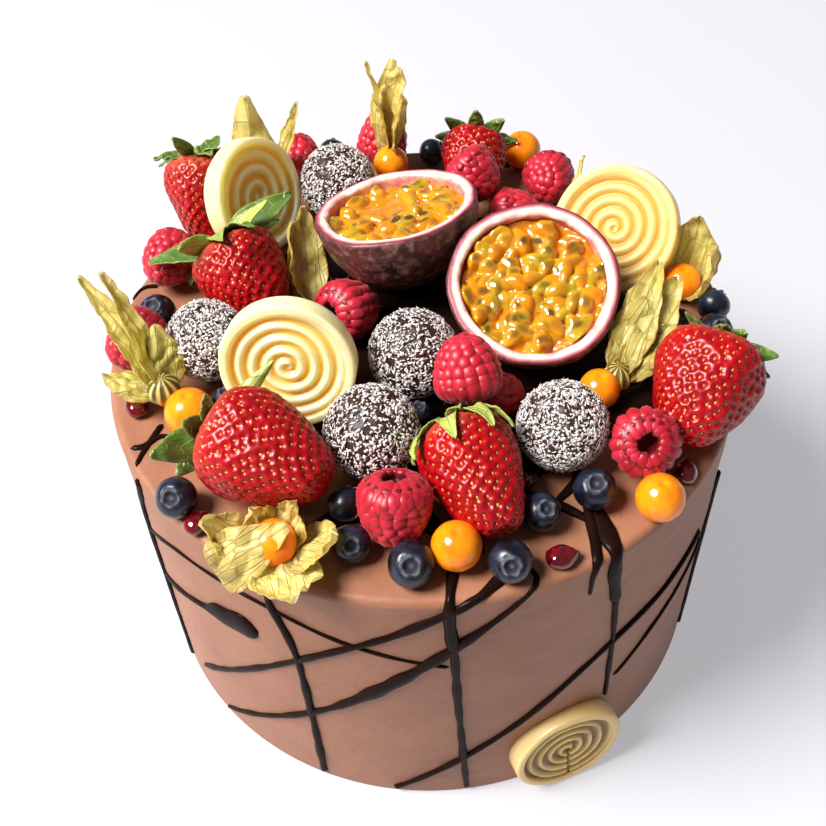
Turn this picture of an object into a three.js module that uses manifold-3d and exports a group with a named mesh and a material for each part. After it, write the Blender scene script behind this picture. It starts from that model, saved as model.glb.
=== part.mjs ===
import * as THREE from "three";
import { mergeVertices } from "three/addons/utils/BufferGeometryUtils.js";
import Module from "manifold-3d";

const wasm = await Module();
wasm.setup();

// A tall round cake in milk chocolate icing, with dark chocolate drizzle down its wall and a heap of
// fruit, coconut truffles and white chocolate discs on top.
// Millimetres, +Z up, the origin at the centre of the flat base. The front of the cake faces -Y.

// The cake
const cakeRadius = 100;
const cakeHeight = 120;
const cakeEdgeRadius = 2.5;
const cakeSides = 48;
const gap = 0.3;

// The drizzle
const strandWidth = 2.5;
const strandHeight = 0.9;
const strandSink = 0.7;
const strandStepAcross = 18;
const strandStepDown = 60;

// The toppings
const discThickness = 7.5;
const spiralTurns = 4.5;
const spiralDepth = 1.1;
const truffleRadius = 14;
const passionWall = 3.6;
const pulpLevel = 4.5;
const pulpFloor = 13;
const physalisRadius = 7.1;
const raspberryRadius = 10;
const raspberryLength = 19;
const sheetThickness = 0.8;
const longLeaf = 22;

// Colours
const icing = { color: 0xb88468, roughness: 0.6 };
const whiteChocolate = { color: 0xf3dda4, roughness: 0.4 };
const coconut = { color: 0x8d7a72, roughness: 0.9 };
const strawberryRed = { color: 0xb5252a, roughness: 0.35 };
const raspberryRed = { color: 0xc12839, roughness: 0.5 };
const blueberryBlue = { color: 0x2b2a33, roughness: 0.6 };
const physalisOrange = { color: 0xf0a52c, roughness: 0.25 };
const huskStraw = { color: 0xd9bf63, roughness: 0.7 };
const rindPurple = { color: 0x3b2124, roughness: 0.5 };
const pulpYellow = { color: 0xe09b2c, roughness: 0.2 };

const degrees = THREE.MathUtils.degToRad;

// Surfaces

// The triangles of a grid whose vertex (i, j) is at(i, j); i runs to the right of j as seen from outside.
function grid(columns, rows, at) {
  const triangles = [];
  for (let i = 0; i < columns; i++) {
    for (let j = 0; j < rows; j++) {
      const corners = [at(i, j), at(i + 1, j), at(i + 1, j + 1), at(i, j + 1)];
      triangles.push([corners[0], corners[1], corners[2]], [corners[0], corners[2], corners[3]]);
    }
  }
  return triangles;
}

// One closed surface of all the triangles, without those that shrink to a line at a pole.
function surface(triangles) {
  const tiny = 1e-4;
  const whole = triangles.filter(
    ([a, b, c]) => a.distanceTo(b) > tiny && b.distanceTo(c) > tiny && c.distanceTo(a) > tiny,
  );
  const loose = new THREE.BufferGeometry().setFromPoints(whole.flat());
  const geometry = mergeVertices(loose, tiny);
  geometry.computeVertexNormals();
  return geometry;
}

// A round body: profile lists [radius, height] from the lower pole to the upper one, and shape, where
// given, moves each point by its turn, 0 to 1, and its row.
function turned(profile, columns, shape = (point) => point) {
  const at = (i, j) => {
    const turn = (i % columns) / columns;
    const [radius, height] = profile[j];
    const angle = 2 * Math.PI * turn;
    const point = new THREE.Vector3(radius * Math.cos(angle), radius * Math.sin(angle), height);
    return radius === 0 ? point : shape(point, turn, j);
  };
  return surface(grid(columns, profile.length - 1, at));
}

function solidOf(geometry) {
  const vertProperties = new Float32Array(geometry.getAttribute("position").array);
  const triVerts = new Uint32Array(geometry.index.array);
  return new wasm.Manifold(new wasm.Mesh({ numProp: 3, vertProperties, triVerts }));
}

function geometryOf(solid) {
  const mesh = solid.getMesh();
  const geometry = new THREE.BufferGeometry();
  geometry.setAttribute("position", new THREE.BufferAttribute(new Float32Array(mesh.vertProperties), 3));
  geometry.setIndex(new THREE.BufferAttribute(new Uint32Array(mesh.triVerts), 1));
  geometry.computeVertexNormals();
  return geometry;
}

function fused(geometries) {
  return geometryOf(geometries.map(solidOf).reduce((sum, next) => sum.add(next)));
}

// Seeded draws, so that the uneven pieces come out the same each time.
function draws(seed) {
  let state = seed;
  return () => {
    state = (state * 1664525 + 1013904223) % 4294967296;
    return state / 4294967296;
  };
}

// A thin leaf as a closed sheet: it runs from the origin along +X with its upper face to +Z. bend is the
// angle in degrees it curls up over its length, cup lifts its edges, twist turns its tip about its run,
// and a low blunt keeps it broad close to its root.
function leaf({ length, width, bend = 0, cup = 0, twist = 0, blunt = 0.5 }) {
  const along = length > longLeaf ? 3 : 2;
  const across = 2;
  const turn = degrees(bend) || 1e-3;
  const middle = (i, j, side) => {
    const u = j / along;
    const v = (2 * i) / across - 1;
    const spread = 0.16 + 0.84 * Math.sin(Math.PI * Math.min(1, 0.1 + 0.9 * Math.pow(u, blunt + 0.35)));
    const half = (width / 2) * (j === along ? 0.07 : spread);
    const roll = degrees(twist) * u;
    const lift = cup * v * v;
    const local = new THREE.Vector3(0, v * half, lift + (side * sheetThickness) / 2);
    local.applyAxisAngle(new THREE.Vector3(1, 0, 0), roll);
    local.applyAxisAngle(new THREE.Vector3(0, 1, 0), -turn * u);
    const run = length / turn;
    return local.add(new THREE.Vector3(run * Math.sin(turn * u), 0, run * (1 - Math.cos(turn * u))));
  };
  const edge = (fixed, rows, place) =>
    grid(1, rows, (i, j) => middle(...place(j), i === 0 ? -fixed : fixed));
  const triangles = [
    ...grid(across, along, (i, j) => middle(i, j, 1)).map(([a, b, c]) => [a, c, b]),
    ...grid(across, along, (i, j) => middle(i, j, -1)),
    ...edge(-1, along, (j) => [0, j]),
    ...edge(1, along, (j) => [across, j]),
    ...edge(1, across, (j) => [j, 0]),
    ...edge(-1, across, (j) => [j, along]),
  ];
  return surface(triangles);
}

// Turns a geometry so that its +X runs to a heading in the plan and a rise above it, then moves it.
function laid(geometry, heading, rise, [x, y, z], roll = 0) {
  return geometry
    .rotateX(degrees(roll))
    .rotateY(-degrees(rise))
    .rotateZ(degrees(heading))
    .translate(x, y, z);
}

// The cake and its drizzle

// The place on the icing at an angle about the axis and a run down from the rim, in millimetres; a
// negative run lies on top, inward from the rim. out lifts the place off the icing.
function onIcing(angle, run, out) {
  const turn = degrees(angle);
  const onWall = run > 0;
  const radius = onWall ? cakeRadius + out : cakeRadius + run + (run === 0 ? out : 0);
  const height = onWall ? cakeHeight - run : cakeHeight + out;
  return new THREE.Vector3(radius * Math.cos(turn), radius * Math.sin(turn), height);
}

function strand(stops, width = strandWidth) {
  const flat = new THREE.CatmullRomCurve3(
    stops.map(([angle, run]) => new THREE.Vector3(degrees(angle) * cakeRadius, run, 0)),
    false,
    "centripetal",
  );
  const across = Math.abs(degrees(stops[0][0] - stops[stops.length - 1][0])) * cakeRadius;
  const steps = Math.ceil(Math.max(3, across / strandStepAcross, flat.getLength() / strandStepDown));
  const places = [];
  for (let k = 0; k <= steps; k++) {
    const at = flat.getPointAt(k / steps);
    places.push([(at.x / cakeRadius) * (180 / Math.PI), at.y]);
  }
  // A stop is put where the strand turns over the rim.
  for (let k = places.length - 1; k > 0; k--) {
    const [before, after] = [places[k - 1], places[k]];
    if (before[1] * after[1] < 0) {
      const share = before[1] / (before[1] - after[1]);
      places.splice(k, 0, [before[0] + share * (after[0] - before[0]), 0]);
    }
  }
  const section = (k) => {
    const [angle, run] = places[k];
    const low = onIcing(angle, run, -strandSink);
    const high = onIcing(angle, run, strandHeight);
    const next = places[Math.min(k + 1, places.length - 1)];
    const last = places[Math.max(k - 1, 0)];
    const ahead = onIcing(next[0], next[1], 0).sub(onIcing(last[0], last[1], 0));
    const out = high.clone().sub(low).normalize();
    const side = out.clone().cross(ahead).normalize();
    const end = k === 0 || k === places.length - 1;
    const half = (width / 2) * (end ? 0.7 : 1.2);
    return [low.clone().addScaledVector(side, -half), low.clone().addScaledVector(side, half), high];
  };
  const sections = places.map((place, k) => section(k));
  const sides = grid(3, places.length - 1, (i, j) => sections[j][i % 3]);
  const first = sections[0];
  const final = sections[sections.length - 1];
  return surface([
    ...sides,
    [first[0], first[2], first[1]],
    [final[0], final[1], final[2]],
  ]);
}

// Each strand as stops of [angle about the axis in degrees, run below the rim in millimetres].
const frontStrands = [
  { stops: [[-116.4, 3], [-118, 13], [-114.7, 43], [-114, 118.5]] },
  { stops: [[-87.7, -9], [-88.2, 5], [-86.9, 57], [-85.3, 118.5]] },
  { stops: [[-57.5, -11], [-59.6, -3], [-60, 8], [-58.5, 26]], width: 3.6 },
  { stops: [[-58.5, 24], [-57.4, 50], [-56.6, 88]], width: 2 },
  { stops: [[-145, 101], [-114.2, 41], [-96, 14.6], [-85, 1], [-78.4, -6.6]] },
  { stops: [[-139.4, 118], [-114.5, 75.3], [-89, 26.4], [-75.2, 1], [-73, -2.5]], width: 3 },
  { stops: [[-99.6, 118], [-75.4, 77], [-59.1, 52.4], [-42.6, 44], [-31.5, 39]] },
  { stops: [[-55.4, 77], [-44.7, 64.6], [-31.2, 54.8], [-26.7, 53.7]], width: 1.8 },
  { stops: [[-23.3, 26], [-23.3, 118]] },
  { stops: [[-153, 34], [-138.4, 18.5], [-121, 15.6], [-103.9, 24.6], [-88.2, 34]], width: 1.6 },
  { stops: [[-153.4, 61], [-135.2, 41.8], [-127, 36.5]], width: 2.8 },
  { stops: [[-129, 38], [-125, 35], [-122.5, 34]], width: 7 },
  { stops: [[-148.7, 1], [-153.2, 34], [-155, 118.5]] },
  { stops: [[-155.5, -2], [-154.7, -6], [-155.5, -12], [-152.7, -16.6]], width: 1.8 },
  { stops: [[-151, -1], [-154.5, -7], [-158.6, -13.8]], width: 1.8 },
  { stops: [[165.4, 1], [162, -2.5], [160.8, -7]], width: 1.8 },
  { stops: [[-58.1, -16], [-60.8, -9], [-64, 2], [-64.5, 15]], width: 2.2 },
];

// The wall behind carries on with falls about as far apart as in front, crossed by sloping strands.
function backStrands() {
  const draw = draws(7);
  const strands = [];
  for (let angle = 12; angle < 175; angle += 50) {
    const start = angle + 6 * draw();
    strands.push({ stops: [[start, -4], [start + 1, 4], [start + 1.5, 118]] });
  }
  for (const [from, fall] of [[-12, 46], [34, 22], [96, 40]]) {
    strands.push({ stops: [[from, fall], [from + 34, fall + 14], [from + 72, fall + 60]] });
  }
  return strands;
}

// A pomegranate seed half sunk in the icing.
function aril({ at, heading, length, height = 5.6 }) {
  const profile = [0, 70, 115, 150, 180].map((part) => [
    Math.sin(degrees(part)) || 0,
    -Math.cos(degrees(part)),
  ]);
  profile[profile.length - 1][0] = 0;
  return turned(profile, 7)
    .scale(length / 2, length * 0.34, height / 2)
    .rotateZ(degrees(heading))
    .translate(at[0], at[1], cakeHeight + height * 0.42);
}

const arils = [
  { at: [-88.2, -25.2], heading: 105, length: 10 },
  { at: [-65.8, -70.8], heading: 48, length: 9 },
  { at: [28, -61.5], heading: 20, length: 6.5 },
  { at: [34.5, -88], heading: 10, length: 10 },
  { at: [73, -61], heading: 80, length: 9 },
];

// The iced cake, dented by what leans on its wall.
function cakeGeometry(dent) {
  const edge = cakeEdgeRadius;
  const profile = [[0, 0], [cakeRadius, 0], [cakeRadius, cakeHeight - edge]];
  for (const part of [45, 90]) {
    const angle = degrees(part);
    profile.push([
      cakeRadius - edge + edge * Math.cos(angle),
      cakeHeight - edge + edge * Math.sin(angle),
    ]);
  }
  profile.push([0, cakeHeight]);
  const whole = fused([
    turned(profile, cakeSides),
    ...[...frontStrands, ...backStrands()].map(({ stops, width }) => strand(stops, width)),
    ...arils.map(aril),
  ]);
  return geometryOf(solidOf(whole).subtract(solidOf(dent)));
}

// The toppings, each about its own centre with its main axis on +Z

// A cast disc with a spiral ridge on its upper face. The rows of its grid follow the spiral, so that a
// row ends a turn two rows further out than it began, and clamped rows fall together on the rim.
function discGeometry(outer, turns = spiralTurns) {
  const columns = 12;
  const rim = outer - 1.6;
  const pitch = rim / turns;
  const top = discThickness / 2;
  const rows = 2 * Math.ceil(turns) + 2;
  const face = (i, j) => {
    const turn = i / columns;
    const free = ((j - 2) / 2 + turn) * pitch;
    const radius = THREE.MathUtils.clamp(free, 0, rim);
    const clamped = radius !== free || radius === 0;
    const low = !clamped && j % 2 === 1;
    const angle = 2 * Math.PI * turn;
    return new THREE.Vector3(
      radius * Math.cos(angle),
      radius * Math.sin(angle),
      low ? top - spiralDepth : top,
    );
  };
  const ring = (radius, height) => (i) => {
    const angle = (2 * Math.PI * i) / columns;
    return new THREE.Vector3(radius * Math.cos(angle), radius * Math.sin(angle), height);
  };
  const rings = [
    ring(0, -top),
    ring(outer - 1, -top),
    ring(outer, -top + 1),
    ring(outer, top - 0.6),
    ring(rim, top),
  ];
  return surface([
    ...grid(columns, rows, face).map(([a, b, c]) => [a, c, b]),
    ...grid(columns, rings.length - 1, (i, j) => rings[j](i)),
  ]);
}

function truffleGeometry(seed, radius = truffleRadius) {
  const draw = draws(seed);
  const ball = new THREE.IcosahedronGeometry(radius, 2);
  ball.deleteAttribute("normal");
  ball.deleteAttribute("uv");
  const geometry = mergeVertices(ball, 1e-3);
  const places = geometry.getAttribute("position");
  for (let k = 0; k < places.count; k++) {
    const grow = 1 + 0.035 * (draw() - 0.5);
    places.setXYZ(k, places.getX(k) * grow, places.getY(k) * grow, places.getZ(k) * grow);
  }
  geometry.computeVertexNormals();
  return geometry;
}

// The cap of a strawberry of which little shows.
const plainCap = (length) => [90, 180, 270].map((around) => [around, 15, length, 0.45 * length, -30]);

// A strawberry with its cap of leaves at +Z: broad shoulders and a blunt tip. Each leaf is its angle about
// the axis, its tilt above the cap's plane, its length, its width and how far it curls up.
function strawberryGeometry({ length, width, leaves, seed = 1 }) {
  const draw = draws(seed);
  const outline = [
    [0, 0], [0.36, 0.05], [0.72, 0.3], [0.95, 0.58], [1, 0.76], [0.82, 0.93], [0.4, 1], [0, 0.98],
  ];
  const lobes = 0.05;
  const phase = 6 * draw();
  const body = turned(
    outline.map(([radius, height]) => [(radius * width) / 2, (height - 0.5) * length]),
    10,
    (point, turn) => {
      const grow = 1 + lobes * Math.cos(4 * Math.PI * turn + phase);
      return new THREE.Vector3(point.x * grow, point.y / grow, point.z);
    },
  );
  const root = 4;
  const cap = leaves.map(([around, tilt, leafLength, leafWidth, bend]) => {
    const blade = leaf({ length: leafLength, width: leafWidth, bend, cup: 0.6 });
    const turn = degrees(around);
    const start = [root * Math.cos(turn), root * Math.sin(turn), length * 0.485];
    return laid(blade, around, tilt, start);
  });
  return fused([body, ...cap]);
}

// A raspberry with its closed tip at +Z and the hollow left by its core at -Z; neighbouring places on
// its rows stand out and in by turns as its grains do.
function raspberryGeometry({ radius = raspberryRadius, length = raspberryLength, columns = 10 }) {
  const outline = [
    [0, 0.5], [0.44, 0.1], [0.7, 0], [0.94, 0.14], [1, 0.34], [0.92, 0.56], [0.74, 0.77], [0.45, 0.93],
    [0, 1],
  ];
  const grain = 0.055;
  return turned(
    outline.map(([out, height]) => [out * radius, (height - 0.5) * length]),
    columns,
    (point, turn, row) => {
      const outside = row >= 2;
      const stands = (Math.round(turn * columns) + row) % 2 === 0;
      const grow = 1 + (outside ? (stands ? grain : -grain) : 0);
      return new THREE.Vector3(point.x * grow, point.y * grow, point.z);
    },
  );
}

// A blueberry with the lip and pit of its crown at +Z.
function blueberryGeometry(radius) {
  const outline = [
    [0, -0.9], [0.74, -0.6], [1, 0.04], [0.72, 0.66], [0.42, 0.95], [0.24, 0.72], [0, 0.7],
  ];
  return turned(outline.map(([out, height]) => [out * radius, height * radius]), 8);
}

function ballGeometry(radius, columns = 9) {
  const outline = [[0, -1], [0.6, -0.8], [0.97, -0.24], [0.92, 0.4], [0.5, 0.87], [0, 1]];
  return turned(outline.map(([out, height]) => [out * radius, height * radius]), columns);
}

// A cape gooseberry with its papery husk: each blade starts at root, seen from the berry's centre.
function physalisGeometry({ radius = physalisRadius, root = [0, 0, 0], knob = 0, blades = [] }) {
  const pieces = radius ? [ballGeometry(radius)] : [];
  if (knob) pieces.push(ballGeometry(knob, 7).translate(...root));
  for (const { heading, rise, roll = 0, start = root, ...form } of blades) {
    pieces.push(laid(leaf(form), heading, rise, start, roll));
  }
  return pieces.length > 1 ? fused(pieces) : pieces[0];
}

// Half a passion fruit: the rind is a bowl whose cut rim faces +Z, with the pulp in it below the rim.
function rindGeometry(r, d) {
  const inner = r - passionWall;
  const profile = [
    [0, -d], [0.45 * r, -0.9 * d], [0.8 * r, -0.62 * d], [0.97 * r, -0.26 * d], [r, -1], [r - 1, 0],
    [inner, 0], [inner + 0.5, -pulpLevel], [inner - 2, -pulpFloor], [0, -pulpFloor],
  ];
  return turned(profile, 20);
}

function pulpGeometry(r, seed) {
  const inner = r - passionWall - gap;
  const level = -pulpLevel - 0.6;
  const profile = [
    [0, -pulpFloor + gap], [inner - 2.4, -pulpFloor + gap], [inner - 0.4, level - 1.2],
    [inner - 2.6, level], [inner * 0.62, level], [inner * 0.32, level], [0, level],
  ];
  return turned(profile, 16, (point, turn, row) => {
    const sac = row >= 3 ? 1.3 * Math.sin(26 * turn * Math.PI + 2.4 * row * seed) : 0;
    return new THREE.Vector3(point.x, point.y, point.z + sac);
  });
}

// Assembly

const cake = new THREE.Group();

// The pose of a topping whose +Z points to a heading in the plan and a rise above it. base is the height of
// its lowest point over the icing.
function seat(geometry, { at, heading = 0, rise = 90, base = gap }) {
  const aim = new THREE.Euler(0, degrees(90 - rise), degrees(heading), "ZYX");
  const pose = new THREE.Matrix4().makeRotationFromEuler(aim);
  const box = new THREE.Box3().setFromBufferAttribute(
    geometry.getAttribute("position").clone().applyMatrix4(pose),
  );
  return pose.setPosition(at[0], at[1], cakeHeight + base - box.min.z);
}

function add(name, geometry, finish, pose = new THREE.Matrix4()) {
  const mesh = new THREE.Mesh(geometry, new THREE.MeshStandardMaterial({ metalness: 0, ...finish }));
  mesh.name = name;
  mesh.applyMatrix4(pose);
  cake.add(mesh);
}

const discs = {
  disc_back: { size: 19.5, turns: 3.5, at: [-54, 51.8], heading: -33, rise: 23 },
  disc_centre: { size: 20.2, at: [-39.6, -28], heading: -96, rise: 17 },
  disc_right: { size: 20.5, at: [65, 27.5], heading: -120, rise: 40 },
  disc_front: { size: 19.2, at: [41.3, -93.3], heading: -70, rise: 4, base: gap - cakeHeight },
};

// A round block that clears a disc all round.
function discRoom({ size, turns, ...place }) {
  const half = discThickness / 2 + gap;
  const radius = size + gap;
  const block = turned([[0, -half], [radius, -half], [radius, half], [0, half]], 24);
  return block.applyMatrix4(seat(discGeometry(size, turns), place));
}

add("cake_body", cakeGeometry(discRoom(discs.disc_front)), icing);
for (const [name, { size, turns, ...place }] of Object.entries(discs)) {
  const geometry = discGeometry(size, turns);
  add(name, geometry, whiteChocolate, seat(geometry, place));
}

const truffles = {
  truffle_back: { at: [-26.3, 65.2], size: 13.3 },
  truffle_left: { at: [-66, -9.6], size: 12.8 },
  truffle_middle: { at: [-3, -20.5], size: 13.8 },
  truffle_front: { at: [-16, -50.8] },
  truffle_right: { at: [38.3, -51.4], size: 13.3 },
};
Object.entries(truffles).forEach(([name, { size, ...place }], k) => {
  const geometry = truffleGeometry(k + 1, size);
  add(name, geometry, coconut, seat(geometry, place));
});

const strawberries = {
  strawberry_front: {
    form: {
      length: 37.5,
      width: 33.5,
      leaves: [
        [104, 25, 17, 8, -15], [70, 20, 13, 7, -30], [250, -12, 21, 4.5, -25], [180, 20, 10, 6, -30],
      ],
      seed: 1,
    },
    at: [-43.9, -59.4],
    heading: 150,
    rise: 3,
  },
  strawberry_middle: {
    form: {
      length: 35,
      width: 28.5,
      leaves: [
        [200, 2, 14, 6.5, -70], [236, 4, 13, 5.5, -70], [160, 6, 14, 5, -70], [116, 10, 14, 6, -70],
        [272, -12, 13, 2.5, 40],
      ],
      seed: 2,
    },
    at: [13.2, -68.1],
    heading: 111,
    rise: 14,
  },
  strawberry_right: {
    form: {
      length: 32.5,
      width: 33,
      leaves: [[136, 5, 13, 2.5, -10], [210, 10, 9, 4.5, -20], [256, 0, 13, 4.5, -20], [292, -5, 12, 4, -30]],
      seed: 3,
    },
    at: [79.2, -42.6],
    heading: 62,
    rise: 13,
  },
  strawberry_left: {
    form: {
      length: 31,
      width: 29.5,
      leaves: [
        [78, 25, 21, 8, -20], [48, 4, 18, 7, -40], [200, 14, 12, 6.5, -70], [220, 2, 17, 4.5, -20],
        [248, 6, 24, 8.5, -20], [276, 4, 20, 6.5, -20],
      ],
      seed: 4,
    },
    at: [-54.6, 16.5],
    heading: 128,
    rise: 30,
  },
  strawberry_rear_left: {
    form: {
      length: 31,
      width: 26.5,
      leaves: [[152, 30, 13, 4, -10], [56, 5, 15, 5, -30], [320, 30, 10, 6, -10], [240, 15, 9, 7, -30]],
      seed: 5,
    },
    at: [-71.5, 57.5],
    heading: 100,
    rise: 55,
  },
  strawberry_rear: {
    form: { length: 21, width: 24.5, leaves: plainCap(10), seed: 6 },
    at: [21.8, 75],
    heading: 80,
    rise: 10,
  },
};
for (const [name, { form, ...place }] of Object.entries(strawberries)) {
  const geometry = strawberryGeometry(form);
  add(name, geometry, strawberryRed, seat(geometry, place));
}

const passionFruits = {
  passion_left: { radius: 27.2, depth: 27, at: [-6.5, 32.5], heading: 120, rise: 74, base: 1.5 },
  passion_right: { radius: 26.8, depth: 24, at: [34.6, -3.5], heading: -98, rise: 64 },
};
Object.entries(passionFruits).forEach(([name, { radius, depth, ...place }], k) => {
  const rind = rindGeometry(radius, depth);
  const pose = seat(rind, place);
  add(name + "_rind", rind, rindPurple, pose);
  add(name + "_pulp", pulpGeometry(radius, k + 11), pulpYellow, pose);
});

// The form of a raspberry of which little shows, with fewer grains round it.
const plainForm = (radius, length) => ({ radius, length, columns: 8 });

const raspberries = {
  raspberry_centre: { at: [-22, 5.2], heading: 45, rise: -25 },
  raspberry_stacked: { at: [11.8, -37], heading: 100, rise: 50, base: 13 },
  raspberry_front: { form: { radius: 10.5, length: 20 }, at: [-10.2, -76], heading: -90, rise: -52 },
  raspberry_right: { form: { radius: 9.6, length: 15 }, at: [60.3, -57.4], heading: 90, rise: -45, base: 4 },
  raspberry_rear_middle: {
    form: plainForm(9.5, 17),
    at: [21.3, 56.2],
    heading: -40,
    rise: -25,
    base: 11,
  },
  raspberry_rear_right: { form: plainForm(9, 17), at: [48, 64], heading: -90, rise: 10 },
  raspberry_rear_low: { form: plainForm(8.8, 17), at: [35, 48], heading: 0, rise: 0 },
  raspberry_left: { form: plainForm(9.3, 19), at: [-82.7, 31], heading: 250, rise: 8 },
  raspberry_edge_left: { form: plainForm(9, 20), at: [-90, -5], heading: 240, rise: 0 },
  raspberry_rear_left: { form: plainForm(8, 17), at: [-40.6, 85.8], heading: 90, rise: 30 },
  raspberry_rear_husk: { form: plainForm(9, 19.5), at: [-9.6, 93], heading: 60, rise: 65, base: 1.5 },
  raspberry_middle_low: { form: plainForm(7, 13), at: [23, -33.5], heading: 0, rise: 0 },
};
for (const [name, { form = {}, ...place }] of Object.entries(raspberries)) {
  const geometry = raspberryGeometry(form);
  add(name, geometry, raspberryRed, seat(geometry, place));
}

const blueberries = {
  blueberry_rear_left: { at: [-29, 92.3], heading: 90, rise: 20, size: 5.4 },
  blueberry_rear: { at: [7.6, 91.3], heading: 0, rise: 30, size: 4.9 },
  blueberry_left: { at: [-85, 10.5], heading: -100, rise: 70, size: 6.3 },
  blueberry_left_inner: { at: [-59.8, -28.2], size: 5 },
  blueberry_front_left: { at: [-71.4, -64.3], heading: -100, rise: 50, size: 6 },
  blueberry_front_inner: { at: [-24, -69.3], heading: 90, rise: 30, size: 5.3 },
  blueberry_front_low: { at: [-22.2, -82.6], heading: -90, rise: 50, size: 5.3 },
  blueberry_front_middle: { at: [-6.4, -90.6], heading: -90, rise: 50, size: 6.4 },
  blueberry_front_right: { at: [20, -91], heading: -90, rise: 40, size: 6 },
  blueberry_front_upper: { at: [29.8, -75.3], heading: -60, rise: 60, size: 5.6 },
  blueberry_right_inner: { at: [45.6, -68.7], heading: -90, rise: 70, size: 6.1 },
  blueberry_right_rear: { at: [93.5, 2.5], heading: 60, rise: 30, size: 5.3 },
  blueberry_right_edge: { at: [91, -10], heading: -60, rise: 60, size: 6 },
  blueberry_right_dark: { at: [80.5, -6], size: 5.7 },
  blueberry_middle_dark: { at: [-2, -37], size: 4.6 },
};
for (const [name, { size, ...place }] of Object.entries(blueberries)) {
  const geometry = blueberryGeometry(size);
  add(name, geometry, blueberryBlue, seat(geometry, place));
}

const physalis = {
  physalis_rear_husk: {
    at: [-7.4, 76.5],
    base: 6,
    form: {
      radius: 6.2,
      blades: [
        { start: [2, 2, 3], heading: 180, rise: 82, length: 35, width: 14, bend: 25, twist: 50 },
        { start: [-2, 4, 3], heading: 60, rise: 80, length: 33, width: 13, bend: -12, twist: 40 },
        { start: [0, 4, 3], heading: 200, rise: 84, length: 38, width: 10, bend: -8, twist: -30 },
      ],
    },
  },
  physalis_rear: { at: [40.6, 87.4], form: { radius: 6.9 } },
  physalis_left_husk: {
    at: [-70.2, -34.2],
    form: {
      radius: 7.6,
      knob: 5,
      root: [-7.9, 7.4, 2.8],
      blades: [
        { heading: 134, rise: 50, length: 42, width: 11, bend: -30, cup: 2 },
        { heading: 118, rise: 56, length: 39, width: 10, bend: -24, cup: 2, roll: 30 },
        { heading: 168, rise: 22, length: 19, width: 13, bend: -25, cup: -1.5 },
        { heading: 100, rise: 60, length: 15, width: 10, bend: -30, cup: -1.5 },
      ],
    },
  },
  physalis_front_husk: {
    at: [-43.6, -82.1],
    form: {
      radius: 6.8,
      blades: [
        { start: [-3, 0, -3], heading: 172, rise: 20, length: 20, width: 15, bend: 30, cup: 2 },
        { start: [-2, 2, -3], heading: 140, rise: 52, length: 14, width: 15, bend: 40, cup: 2 },
        { start: [2, 2, -3], heading: 40, rise: 48, length: 15, width: 14, bend: 30, cup: 2 },
        { start: [4, 0, -3], heading: -18, rise: 16, length: 20, width: 18, bend: 45, cup: 2 },
        { start: [2, -3, -3], heading: -76, rise: 10, length: 21, width: 20, bend: 22, cup: 2 },
        { start: [-15, -6, -3], heading: 14, rise: 30, length: 24, width: 17, bend: -14, roll: 38, blunt: 0.2 },
      ],
    },
  },
  physalis_front: { at: [6, -86.1], form: { radius: 7 } },
  physalis_right: { at: [63, -73.3], form: { radius: 6.9 } },
  physalis_right_husk: {
    at: [52.2, -31.5],
    form: {
      radius: 6.2,
      knob: 4.5,
      root: [6, 4, 1],
      blades: [
        { heading: 58, rise: 42, length: 38, width: 11, bend: -26, cup: 2 },
        { heading: 40, rise: 50, length: 28, width: 11, bend: -36, cup: 2, roll: 20 },
      ],
    },
  },
  physalis_right_rear: {
    at: [85.3, 13.5],
    form: {
      radius: 6.2,
      blades: [
        { start: [1, 2, -4], heading: 60, rise: 50, length: 24, width: 15, bend: 40, cup: 2 },
        { start: [2, -1, -4], heading: -30, rise: 40, length: 22, width: 15, bend: 60, cup: 2 },
      ],
    },
  },
  husk_rear_left: {
    at: [-55.5, 76],
    form: {
      radius: 0,
      blades: [
        { heading: 100, rise: 84, length: 38, width: 20, bend: -8, cup: -2, blunt: 0.2 },
        { heading: 0, rise: 62, length: 44, width: 6, bend: 20, cup: 1, roll: 50, start: [2, 1, 2] },
        { heading: 168, rise: 50, length: 25, width: 7, bend: -40, cup: 1, start: [-1, 2, 2] },
      ],
    },
  },
  husk_middle: {
    at: [-35.5, 14],
    form: {
      radius: 0,
      blades: [
        { heading: 95, rise: 52, length: 34, width: 10, bend: -10, cup: 2, twist: 40 },
        { heading: 120, rise: 48, length: 30, width: 8, bend: 20, cup: 2, roll: 40 },
      ],
    },
  },
  husk_rear_right: {
    at: [53.8, 46],
    form: {
      radius: 0,
      blades: [
        { heading: 100, rise: 84, length: 31, width: 6, bend: 10, cup: 1, roll: 90 },
        { heading: 20, rise: 75, length: 29, width: 5, bend: 10, cup: 1, roll: 90 },
      ],
    },
  },
  physalis_rear_left: { at: [-66, 40.5], form: { radius: 4.2 } },
};
for (const [name, { form, ...place }] of Object.entries(physalis)) {
  const finish = name.startsWith("husk") ? huskStraw : physalisOrange;
  const geometry = physalisGeometry(form);
  add(name, geometry, finish, seat(geometry, place));
}

export default cake;
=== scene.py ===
import math

import bpy
import numpy as np
from mathutils import Matrix, Vector


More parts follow.
